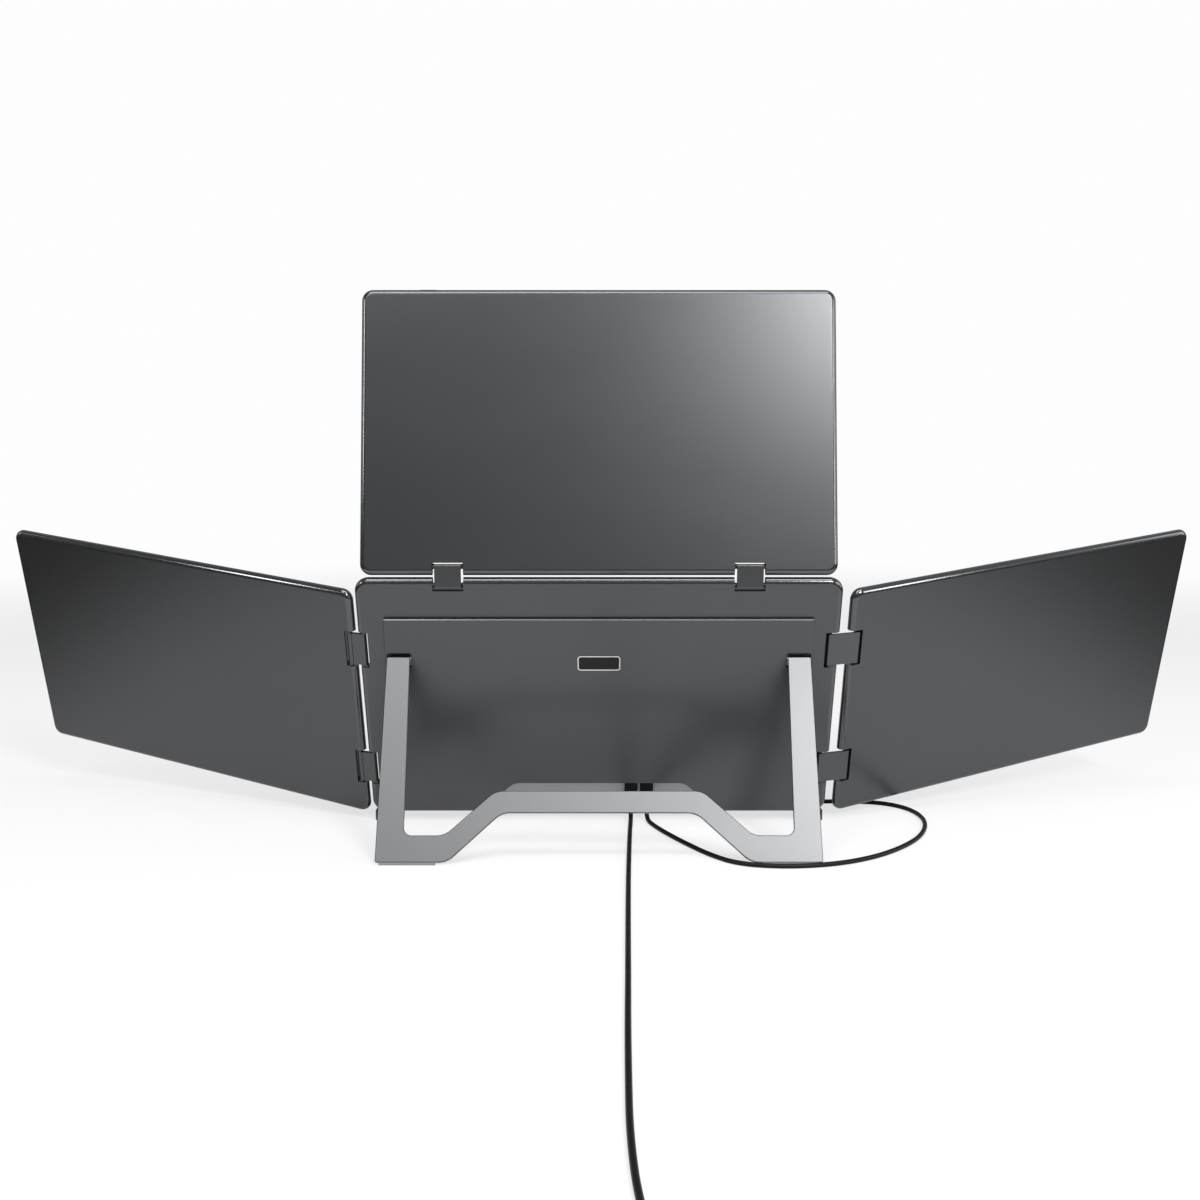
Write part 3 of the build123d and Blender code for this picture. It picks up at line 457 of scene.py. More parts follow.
def facing(bend: float, side: int) -> Point:
    """Direction that a leaning panel's back faces.

    The centre's back faces (0, cos a, -sin a) at a lean of a. A side panel's back is that
    direction turned by its bend: (side sin b, cos b cos a, -cos b sin a). With side 0 the bend
    is taken off the lean instead.

    Args:
        bend: the panel's bend from the centre's plane, in degrees.
        side: 1 or -1 for a panel at +X or -X, 0 for one that is bent about X.

    Returns:
        A unit vector.
    """
    lean, turn = math.radians(LEAN), math.radians(bend)
    if side == 0:
        return (0.0, math.cos(lean - turn), -math.sin(lean - turn))
    return (side * math.sin(turn), math.cos(turn) * math.cos(lean),
            -math.cos(turn) * math.sin(lean))


def shell_finish(name: str, face: Point, rim_roughness: float = 0.13,
                 rim_tone: float = 1.2) -> Finish:
    """The dark satin finish of a panel's back.

    Args:
        name: the finish's name.
        face: the direction that the back faces.
        rim_roughness: roughness of the rims.
        rim_tone: the rims' colour, as a share of the face's.

    Returns:
        The finish.
    """
    return Finish(name, (0.083, 0.085, 0.088), 0.85, 0.31, grain_mm=0.35, relief_mm=0.004,
                  cloudiness=0.07, marks=0.05, face=face, rim_roughness=rim_roughness,
                  rim_tone=rim_tone)


def link_finish(name: str, face: Point, rim_roughness: float, rim_tone: float) -> Finish:
    """The satin finish of a link.

    Args:
        name: the finish's name.
        face: the direction that the link's flat side faces.
        rim_roughness: roughness of the rims.
        rim_tone: the rims' colour, as a share of the flat side's; below 1 it is painted shade.

    Returns:
        The finish.
    """
    return Finish(name, (0.086, 0.089, 0.092), 0.8, 0.34, grain_mm=0.3, relief_mm=0.003,
                  face=face, rim_roughness=rim_roughness, rim_tone=rim_tone)


class Surface(Enum):
    """Every finish of the object."""

    CENTRE_SHELL = shell_finish("centre_shell_satin", facing(0.0, 0))
    RIGHT_SHELL = shell_finish("right_shell_satin", facing(SIDE_BEND, 1))
    LEFT_SHELL = shell_finish("left_shell_satin", facing(SIDE_BEND, -1))
    TOP_SHELL = shell_finish("top_shell_satin", facing(TOP_BEND, 0))
    RAISED_PLATE = shell_finish("raised_plate_satin", facing(0.0, 0), 0.15, 1.0)
    WASHER = Finish("washer_satin", (0.07, 0.073, 0.076), 0.8, 0.34, grain_mm=0.3,
                    relief_mm=0.003)
    # Side links' rims darkened to a quarter: painted shade of the notch beside each link.
    RIGHT_LINK = link_finish("right_link_satin_painted_rim_shade", facing(SIDE_BEND / 2, 1), 0.4, 0.25)
    LEFT_LINK = link_finish("left_link_satin_painted_rim_shade", facing(SIDE_BEND / 2, -1), 0.4, 0.25)
    TOP_LINK = link_finish("top_link_satin", facing(TOP_BEND / 2, 0), 0.2, 1.3)
    BAY_SILVER = Finish("bay_silver", (0.3, 0.303, 0.308), 0.85, 0.45, grain_mm=0.3,
                        relief_mm=0.004)
    # The stand's rims darkened to 0.35 of the face: painted shade along its edges.
    STAND = Finish("stand_silver_painted_rim_shade", (0.174, 0.177, 0.181), 0.85, 0.45, grain_mm=0.3,
                   relief_mm=0.004, cloudiness=0.06, marks=0.05, face=facing(STAND_OPEN, 0),
                   rim_roughness=0.22, rim_tone=0.35)
    BLACK_BEZEL = Finish("bezel_fine_moulding", (0.018, 0.018, 0.02), 0.0, 0.52, grain_mm=0.4,
                         relief_mm=0.012)
    DISPLAY = Finish("display_cover", (0.008, 0.008, 0.01), 0.0, 0.16, grain_mm=0.25,
                     relief_mm=0.0006, marks=0.03, coat=0.4, coat_roughness=0.08)
    STEEL = Finish("plated_steel", (0.42, 0.42, 0.43), 1.0, 0.28, grain_mm=0.6, relief_mm=0.004)
    RUBBER = Finish("foot_rubber", (0.035, 0.035, 0.035), 0.0, 0.75, grain_mm=0.5,
                    relief_mm=0.03, specular=0.3)
    STAND_PAD = Finish("stand_pad_rubber", (0.16, 0.16, 0.165), 0.0, 0.75, grain_mm=0.5,
                       relief_mm=0.03, specular=0.3)
    BOARD = Finish("board_mask", (0.012, 0.07, 0.035), 0.0, 0.35, grain_mm=1.2, relief_mm=0.02)
    MODULE = Finish("display_module_back", (0.3, 0.3, 0.31), 0.9, 0.4)
    KEY = Finish("key_moulding", (0.03, 0.03, 0.032), 0.0, 0.42, grain_mm=0.3, relief_mm=0.008)
    BADGE_RIM = Finish("badge_rim_metal", (0.62, 0.62, 0.63), 1.0, 0.22, relief_mm=0.001)
    BADGE = Finish("badge_black", (0.004, 0.004, 0.004), 0.0, 0.3, relief_mm=0.001, specular=0.25)
    PLUG = Finish("plug_moulding", (0.005, 0.005, 0.005), 0.0, 0.45, grain_mm=0.35,
                  relief_mm=0.012, specular=0.06)
    CORD = Finish("cord_jacket", (0.005, 0.005, 0.005), 0.0, 0.42, grain_mm=0.6,
                  relief_mm=0.012, specular=0.16)


# The finish of each material slot, of the shells of each screen, and of single pieces.
SLOT_SURFACES: dict[str, Surface] = {
    "dark_shell": Surface.CENTRE_SHELL, "black_bezel": Surface.BLACK_BEZEL,
    "display_glass": Surface.DISPLAY, "display_module": Surface.MODULE,
    "circuit_board": Surface.BOARD, "steel": Surface.STEEL, "rubber": Surface.RUBBER,
    "key_plastic": Surface.KEY, "link_metal": Surface.WASHER, "silver": Surface.BAY_SILVER,
    "badge_rim": Surface.BADGE_RIM, "badge_black": Surface.BADGE, "plug_plastic": Surface.PLUG,
    "cord_jacket": Surface.CORD}
SCREEN_SHELLS: dict[str, Surface] = {
    "right": Surface.RIGHT_SHELL, "left": Surface.LEFT_SHELL, "top": Surface.TOP_SHELL}
PIECE_SURFACES: dict[str, Surface] = {
    "stand_frame": Surface.STAND, "stand_foot_pads": Surface.STAND_PAD,
    "raised_back_plate": Surface.RAISED_PLATE, "right_hinge_links": Surface.RIGHT_LINK,
    "left_hinge_links": Surface.LEFT_LINK, "top_hinge_links": Surface.TOP_LINK}


class Wardrobe:
    """Makes each material once and puts it on pieces."""

    def __init__(self) -> None:
        """Builds the shared effects."""
        self.effects = SharedEffects()
        self.made: dict[Surface, bpy.types.Material] = {}

    def dress(self, obj: bpy.types.Object, surface: Surface) -> None:
        """Gives the piece one finish.

        Args:
            obj: a mesh or curve.
            surface: the finish.
        """
        if surface not in self.made:
            self.made[surface] = surface.value.build(self.effects)
        obj.data.materials.clear()
        obj.data.materials.append(self.made[surface])


@dataclass
class RigidPieces:
    """The pieces that keep their own meshes."""

    nodes: dict[str, bpy.types.Object]
    slots: dict[str, str]

    def dress(self, wardrobe: Wardrobe) -> None:
        """Puts each piece's finish on: its own, its screen's or its slot's, in that order.

        Args:
            wardrobe: gives the finishes.
        """
        for name, obj in self.nodes.items():
            surface = SLOT_SURFACES[self.slots[name]]
            if surface is Surface.CENTRE_SHELL:
                surface = SCREEN_SHELLS.get(name.split("_")[0], surface)
            wardrobe.dress(obj, PIECE_SURFACES.get(name, surface))
            log.info("dressed %s", name)


# ------------------------------------------------------------------ hinge washers
@dataclass(frozen=True)
class Washers:
    """Friction washers on both sides of each link, at both of its axes.

    They fill most of the notch beside a link, so little light comes through it. The places are
    the links' middles along their axes, counted from the joints' own places towards +X or +Z,
    and half_width is half the width of a link.
    """

    wing: str
    places: tuple[float, float]
    half_width: float
    radius: float = 2.05
    bore: float = 0.95
    thickness: float = 1.25
    start: float = 0.08
    soft: float = 0.2

    def profile(self) -> np.ndarray:
        """Closed outline of a washer with soft outer corners.

        Each corner is a quarter circle: soft * (1 - sin a) in from the washer's side and soft *
        (1 - cos a) in from its rim.

        Returns:
            Array (points, 2) of distance along the axis and radius.
        """
        angle = np.linspace(0, np.pi / 2, 4)
        inward = self.soft * (1 - np.sin(angle))
        radius = self.radius - self.soft * (1 - np.cos(angle))
        low = np.column_stack([inward, radius])[::-1]
        high = np.column_stack([self.thickness - inward, radius])
        return np.vstack([(0.0, self.bore), low, high, (self.thickness, self.bore)])

    def disc(self, middle: np.ndarray, along: np.ndarray,
             count: int = 40) -> tuple[np.ndarray, np.ndarray]:
        """One washer: the outline turned round the axis.

        Point (i, j) = middle + along * x_j + r_j * (cos t_i * e1 + sin t_i * e2). Face (i, j)
        joins points j and j+1 at turns i and i+1, both taken round.

        Args:
            middle: where the outline's distance along the axis is 0, in millimetres.
            along: the axis's direction.
            count: steps of the full turn.

        Returns:
            The points, one row each, and the faces' point numbers, one row each.
        """
        first = np.cross(along, (0.0, 1.0, 0.1))
        first /= np.linalg.norm(first)
        second = np.cross(along, first)
        angle = np.linspace(0, 2 * np.pi, count, endpoint=False)[:, None, None]
        shape = self.profile()
        points = (middle + along * shape[None, :, :1]
                  + shape[None, :, 1:] * (np.cos(angle) * first + np.sin(angle) * second))
        rows = len(shape)
        turn, here = np.arange(count)[:, None], np.arange(rows)[None, :]
        beside, after = (here + 1) % rows, (turn + 1) % count
        faces = np.stack([turn * rows + here, turn * rows + beside,
                          after * rows + beside, after * rows + here], axis=-1)
        return points.reshape(-1, 3), faces.reshape(-1, 4)

    def build(self, joints: dict[str, dict], wardrobe: Wardrobe) -> None:
        """Makes the washers of one screen as one piece on its links' body.

        Args:
            joints: the object's joints by name.
            wardrobe: gives the finish.
        """
        discs: list[np.ndarray] = []
        faces: Faces = []
        for axis_name in (f"{self.wing}_inner_hinge", f"{self.wing}_outer_hinge"):
            joint = joints[axis_name]
            along = np.array(joint["axis"], dtype=float)
            # The joint's axis may point either way; the places count towards +X or +Z.
            along *= np.sign(along[0] + along[2])
            origin = np.array(joint["pos_m"], dtype=float) / MM
            for spot, side in itertools.product(self.places, (1, -1)):
                middle = origin + along * (spot + side * (self.half_width + self.start))
                points, rings = self.disc(middle, along * side)
                faces += (rings + len(discs) * len(points)).tolist()
                discs.append(points)
        obj = add_mesh(f"{self.wing}_washers", millimetres(np.vstack(discs)), faces, 50.0)
        wardrobe.dress(obj, Surface.WASHER)
        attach(obj, f"{self.wing}_links")
        log.info("washers of the %s screen", self.wing)


# The places of the links of a side screen and of the top screen, in millimetres.
SIDE_LINKS = (44.75, -61.45)
TOP_LINKS = (114.0, -114.0)
WASHERS = (Washers("right", places=SIDE_LINKS, half_width=13.25),
           Washers("left", places=SIDE_LINKS, half_width=13.25),
           Washers("top", places=TOP_LINKS, half_width=10.0))


# ------------------------------------------------------------------ cords
@dataclass(frozen=True)
class CablePlug:
    """A small plug: moulded grip with shallow grip lines, ribbed relief, steel sleeve.

    Its own frame has Z towards the port and its origin at the port's face.
    """

    half_width: float = 5.3
    half_height: float = 2.8
    length: float = 12.0
    squareness: float = 4.0
    back_soft: float = 0.9
    front_soft: float = 0.5
    shoulder: float = 0.3
    line_depth: float = 0.12
    line_pitch: float = 0.14
    line_middle: float = 0.45
    lines: tuple[float, float] = (0.28, 0.62)
    relief: float = 3.0
    relief_wall: float = 0.18
    relief_growth: float = 0.6
    ribs: int = 8
    rib_height: float = 0.14
    sleeve_half: tuple[float, float] = (4.11, 1.27)
    sleeve_length: float = 6.2
    sleeve_wall: float = 0.3
    sleeve_floor: float = 0.8
    sleeve_squareness: float = 3.0
    cord_radius: float = 1.8

    @property
    def reach(self) -> float:
        """Distance from the port's face back to the relief's thin end."""
        return self.length + self.relief + self.shoulder

    def edge(self, height: float, soft: float, inward: int) -> np.ndarray:
        """Rings of an end's soft edge, from the end inwards.

        At the angle a the ring lies soft * (1 - cos a) in from the end, and both half sizes are
        soft * (1 - sin a) short of the grip's.

        Args:
            height: where the end is.
            soft: the edge's radius.
            inward: 1 if the grip lies above the end, -1 if below.

        Returns:
            Array (rings, 4) for tower.
        """
        angle = np.linspace(0, np.pi / 2, 6)
        shrink = soft * (1 - np.sin(angle))
        return ring_rows(height + inward * soft * (1 - np.cos(angle)), self.half_width - shrink,
                         self.half_height - shrink, self.squareness)

    def relief_rings(self) -> np.ndarray:
        """Rings of the relief from the cord to the grip.

        The radius grows in a straight line, with ribs of the height times sin^2 on it.

        Returns:
            Array (rings, 4) for tower.
        """
        step = np.linspace(0, 1, 17)
        radius = (self.cord_radius + self.relief_wall + self.relief_growth * step
                  + self.rib_height * np.sin(step * self.ribs * np.pi) ** 2)
        tail = -self.shoulder - self.length - self.relief
        return ring_rows(tail + step * self.relief, radius, radius, 2.0)

    def grip_rings(self) -> np.ndarray:
        """Rings between the grip's soft edges.

        Within the grip lines' span both half sizes dip by the line depth times the positive
        part of a cosine, whose period is the lines' pitch. Pitch, middle and span are shares of
        the grip's length.

        Returns:
            Array (rings, 4) for tower.
        """
        step = np.linspace(0.12, 0.9, 40)
        wave = np.maximum(0.0, np.cos((step - self.line_middle) * 2 * np.pi / self.line_pitch))
        lined = (step > self.lines[0]) & (step < self.lines[1])
        dip = np.where(lined, self.line_depth * wave, 0.0)
        return ring_rows(-self.shoulder - self.length + step * self.length,
                         self.half_width - dip, self.half_height - dip, self.squareness)

    def grip(self, name: str, matrix: Matrix) -> bpy.types.Object:
        """Builds relief and grip as one skin: relief, back edge, grip and front edge in turn.

        Args:
            name: the piece's name.
            matrix: the port's frame, in metres.

        Returns:
            The piece.
        """
        back, front = -self.shoulder - self.length, -self.shoulder
        rows = np.vstack([self.relief_rings(), self.edge(back, self.back_soft, 1),
                          self.grip_rings(), self.edge(front, self.front_soft, -1)[::-1]])
        return loft(name, place(millimetres(tower(rows, 48)), matrix), 50.0)

    def sleeve(self, name: str, matrix: Matrix) -> bpy.types.Object:
        """Builds the steel sleeve: out along the wall, over its lip and back inside.

        The rings run up the outside at the full size, over the lip, and down the inside at the
        size less the wall, to a floor near the grip. The lip is a half circle in four steps,
        and its points next to the top lie 0.3 of its radius below it.

        Args:
            name: the piece's name.
            matrix: the port's frame, in metres.

        Returns:
            The piece.
        """
        wide, tall = self.sleeve_half
        end, wall, lip = self.sleeve_length, self.sleeve_wall, self.sleeve_wall / 2
        step = 0.3 * lip
        height = np.array([-self.shoulder, end - lip, end - step, end, end - step, end - lip,
                           self.sleeve_floor])
        inset = np.array([0.0, 0.0, step, lip, wall - step, wall, wall])
        rows = ring_rows(height, wide - inset, tall - inset, self.sleeve_squareness)
        return loft(name, place(millimetres(tower(rows, 40)), matrix), 40.0)


@dataclass
class Cord:
    """One cord: a smooth line along its route, then the turns it is put away in.

    The turns wind to the left where the winding is 1, to the right where it is -1. After the
    last full one the cord goes on round by leaves_after degrees and leaves for its far plug.
    It moves in, climbs and moves out between the numbers of turns given. It eases out of the
    last one: two points of its last stretch lie outside the tangent by these shares of half
    the diameter.
    """

    name: str
    route: list[Point]
    winding: int
    leaves_after: float
    length: float
    centre_frame: Matrix
    diameter: float = 3.6
    turn_radius: float = 21.0
    margin: float = 0.3
    rest: float = 0.1
    turns: int = 3
    points_per_turn: int = 16
    moves_in: tuple[float, float] = (0.8, 1.0)
    climbs: tuple[float, float] = (1.8, 2.05)
    moves_out: tuple[float, float] = (2.8, 3.0)
    eases: tuple[float, float] = (0.6, 0.2)
    lead_out: float = 14.0
    level_run: float = 5.0
    plug: CablePlug = field(default_factory=CablePlug)

    @property
    def heading(self) -> np.ndarray:
        """Direction of the route's last run over the table."""
        run = np.array(self.route[-1]) - np.array(self.route[-2])
        return run / np.linalg.norm(run)

    @property
    def approach(self) -> float:
        """Straight run between the turns' outer form and the tangent point."""
        outer = self.turn_radius + self.diameter
        inner_side = self.turn_radius - self.diameter / 2
        return math.sqrt(outer ** 2 - inner_side ** 2) + self.margin

    @staticmethod
    def turned(vector: np.ndarray, degrees: float) -> np.ndarray:
        """Turns a vector about +Z.

        Args:
            vector: x, y and z.
            degrees: the angle.

        Returns:
            The turned vector.
        """
        angle = math.radians(degrees)
        cos, sin = math.cos(angle), math.sin(angle)
        x, y, z = vector
        return np.array([x * cos - y * sin, x * sin + y * cos, z])

    @property
    def middle(self) -> np.ndarray:
        """Middle of the turns on the table."""
        end = np.array([self.route[-1][0], self.route[-1][1], 0.0])
        inwards = self.turned(self.heading, 90 * self.winding)
        return end + self.heading * self.approach + inwards * self.turn_radius

    @property
    def way_out(self) -> np.ndarray:
        """Direction in which the last turn leaves."""
        return self.turned(self.heading, self.winding * self.leaves_after)

    def leaving_point(self, along: float, height: float, offset: float) -> np.ndarray:
        """A point of the last stretch, or of the line it runs on.

        Args:
            along: distance from the tangent point, in the way out's direction.
            height: height over the table.
            offset: distance from the turns' middle, square to the way out.

        Returns:
            The point, in millimetres.
        """
        side = self.turned(self.way_out, -90 * self.winding) * offset
        return self.middle + side + self.way_out * along + np.array([0, 0, height])

    def coil_points(self) -> np.ndarray:
        """Control points of the turns.

        Point k stands at angle start + winding * k * 360 / n. Its radius goes from the outer to
        the inner place as the cord moves in, and back as it moves out; its height rises by one
        diameter as the cord climbs onto its first turns. The radius is divided by cos(pi / n),
        so the smooth line keeps the turns' true radius.

        Returns:
            Array (points, 3) in millimetres.
        """
        low = self.diameter / 2 + self.rest
        half = self.diameter / 2
        steps = int(self.points_per_turn * (self.turns + self.leaves_after / 360))
        turn = np.arange(steps + 1) / self.points_per_turn
        outward = np.interp(turn, [*self.moves_in, *self.moves_out], [1, -1, -1, 1])
        radius = (self.turn_radius + outward * half) / math.cos(math.pi / self.points_per_turn)
        height = low + self.diameter * np.interp(turn, self.climbs, [0, 1])
        from_middle = self.turned(self.heading, -90 * self.winding)
        start = math.atan2(from_middle[1], from_middle[0])
        angle = start + self.winding * 2 * np.pi * turn
        middle = self.middle
        return np.column_stack([middle[0] + radius * np.cos(angle),
                                middle[1] + radius * np.sin(angle), height])

    def line(self) -> np.ndarray:
        """All control points: the route, the turns and the last stretch into the far plug.

        The last stretch is given as distance, height and offset of its four points. It leaves
        at the height of the upper turns, comes down to the plug's and ends in a level run.

        Returns:
            Array (points, 3) in millimetres.
        """
        low, top = self.plug.half_height + self.rest, self.diameter * 1.5 + self.rest
        first, second = (self.diameter / 2 * share for share in self.eases)
        end = self.approach + self.lead_out
        stretch = ((self.approach * 0.75, top, first), (self.approach + 2, top, second),
                   (end - self.level_run, low, 0.0), (end, low, 0.0))
        tail = [self.leaving_point(along, height, self.turn_radius + offset)
                for along, height, offset in stretch]
        return np.vstack([np.array(self.route), self.coil_points(), np.array(tail)])

    def curve(self) -> bpy.types.Object:
        """Makes the cord: one smooth spline with a round section.

        Returns:
            The curve's object.
        """
        points = millimetres(self.line())
        data = bpy.data.curves.new(f"{self.name}_line", "CURVE")
        data.dimensions = "3D"
        data.bevel_depth = self.diameter / 2 * MM
        data.bevel_resolution = 6
        data.resolution_u = 8
        data.use_fill_caps = True
        spline = data.splines.new("NURBS")
        spline.points.add(len(points) - 1)
        spline.points.foreach_set("co", np.column_stack([points, np.ones(len(points))]).ravel())
        spline.order_u = 3
        spline.use_endpoint_u = True
        obj = bpy.data.objects.new(f"{self.name}_line", data)
        bpy.context.scene.collection.objects.link(obj)
        return obj

    def near_matrix(self) -> Matrix:
        """Returns the frame of the port that the cord is plugged into."""
        return self.centre_frame @ Matrix.Rotation(math.radians(-90), 4, "X")

    def far_matrix(self) -> Matrix:
        """Frame of the far plug, flat on the table, Z along the way out.

        Returns:
            The frame, in metres.
        """
        along = self.approach + self.lead_out + self.plug.reach
        low = self.plug.half_height + self.rest
        forward = Vector(self.way_out)
        up = Vector((0, 0, 1))
        turn = Matrix((up.cross(forward), up, forward)).transposed().to_4x4()
        turn.translation = Vector(self.leaving_point(along, low, self.turn_radius)) * MM
        return turn

    def build(self, wardrobe: Wardrobe, body: str) -> list[bpy.types.Object]:
        """Makes the cord and its plugs and dresses them.

        Args:
            wardrobe: gives the finishes.
            body: the body that the cord rides on.

        Returns:
            The new pieces.
        """
        line = self.curve()
        wardrobe.dress(line, Surface.CORD)
        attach(line, body)
        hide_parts(f"{self.name}_tube", f"{self.name}_coil")
        pieces = [line]
        for end, node, matrix in (("near", f"{self.name}_plug", self.near_matrix()),
                                  ("far", f"{self.name}_far_plug", self.far_matrix())):
            grip = self.plug.grip(f"{self.name}_{end}_grip", matrix)
            sleeve = self.plug.sleeve(f"{self.name}_{end}_sleeve", matrix)
            wardrobe.dress(grip, Surface.PLUG)
            wardrobe.dress(sleeve, Surface.STEEL)
            for piece, slot in ((grip, "plug_plastic"), (sleeve, "steel")):
                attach(piece, body)
                pieces.append(piece)
            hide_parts(node)
        log.info("cord %s with %d pieces", self.name, len(pieces))
        return pieces


@dataclass(frozen=True)
class PanelFrame:
    """Where the centre panel stands; gives the ports' places."""

    lean: float = LEAN
    lift: float = 6.7692
    port_height: float = 30.5
    port_depth: float = -4.0

    def point(self, across: float, up: float, front: float) -> Point:
        """Carries a point of the panel's own frame into the world.

        The panel's up direction is (0, cos b, sin b) and its front (0, -sin b, cos b), where b is
        90 degrees less the lean.

        Args:
            across: distance along X.
            up: distance up the panel from its foot.
            front: distance towards its front.

        Returns:
            The point, in millimetres.
        """
        angle = math.radians(90 - self.lean)
        return (across, up * math.cos(angle) - front * math.sin(angle),
                self.lift + up * math.sin(angle) + front * math.cos(angle))

    def matrix(self, across: float) -> Matrix:
        """Frame at a port's mouth, in the panel's directions.

        Args:
            across: the port's place along X, in millimetres.

        Returns:
            The frame, in metres.
        """
        turn = Matrix.Rotation(math.radians(90 - self.lean), 4, "X")
        turn.translation = Vector(self.point(across, self.port_height, self.port_depth)) * MM
        return turn

    def relief_end(self, across: float) -> Point:
        """Returns where the cord of a port's plug comes out of its relief, in millimetres."""
        plug = CablePlug()
        return self.point(across, self.port_height - plug.reach, self.port_depth)


POWER_PORT = -26.0
SIGNAL_PORT = -38.6
# From its relief a cord goes straight on by this much towards -Y and -Z. Then it lies on the
# table, its middle line at the lying height, through its path's places.
FIRST_RUN = (3.14, 9.38)
LYING_HEIGHT = 1.9
POWER_PATH = (
    (-25.9, 11.2), (-25.2, 26.0), (-24.0, 54.0), (-22.3, 104.0), (-20.6, 160.0), (-19.2, 216.0),
    (-17.9, 272.0), (-16.7, 328.0), (-15.3, 384.0), (-14.3, 440.0), (-13.6, 496.0),
    (-16.0, 548.0), (-24.0, 590.0))
SIGNAL_PATH = (
    (-39.2, 11.2), (-43.0, 26.0), (-53.0, 50.0), (-67.0, 78.0), (-83.0, 106.0), (-101.0, 126.0),
    (-132.0, 132.5), (-168.0, 128.0), (-201.0, 112.0), (-230.0, 86.0), (-253.0, 54.0),
    (-266.0, 14.0), (-262.0, -20.0), (-243.0, -40.0), (-214.0, -45.0), (-182.0, -44.0),
    (-146.0, -50.0), (-106.0, -61.0), (-66.0, -66.0))


def route(panel: PanelFrame, port: float, path: tuple[tuple[float, float], ...]) -> list[Point]:
    """Control points of a cord from its plug to its turns.

    Args:
        panel: the centre panel's place.
        port: the port's place across the panel.
        path: x and y of the points on the table.

    Returns:
        The points in order, in millimetres.
    """
    start = panel.relief_end(port)
    bend = (port, start[1] - FIRST_RUN[0], start[2] - FIRST_RUN[1])
    return [start, bend, *((x, y, LYING_HEIGHT) for x, y in path)]


def cords(panel: PanelFrame) -> list[Cord]:
    """The two cords, each in its port.

    Args:
        panel: the centre panel's place.

    Returns:
        The cords.
    """
    return [Cord("power_cord", route(panel, POWER_PORT, POWER_PATH), winding=1,
                 leaves_after=90.0, length=1065.0, centre_frame=panel.matrix(POWER_PORT)),
            Cord("signal_cord", route(panel, SIGNAL_PORT, SIGNAL_PATH), winding=-1,
                 leaves_after=180.0, length=1114.0, centre_frame=panel.matrix(SIGNAL_PORT))]


# ------------------------------------------------------------------ studio
@dataclass(frozen=True)
class Softbox:
    """A rectangular lamp: where it stands, what it faces, its size and power."""

    name: str
    stands: Point
    faces: Point
    size: tuple[float, float]
    watts: float

    def build(self) -> None:
        """Makes the lamp."""
        data = bpy.data.lights.new(self.name, "AREA")
        data.shape = "RECTANGLE"
        data.size, data.size_y = self.size
        data.energy = self.watts
        obj = bpy.data.objects.new(self.name, data)
        obj.location = self.stands
        gaze = Vector(self.faces) - Vector(self.stands)
        obj.rotation_euler = gaze.to_track_quat("-Z", "Y").to_euler()
        bpy.context.scene.collection.objects.link(obj)


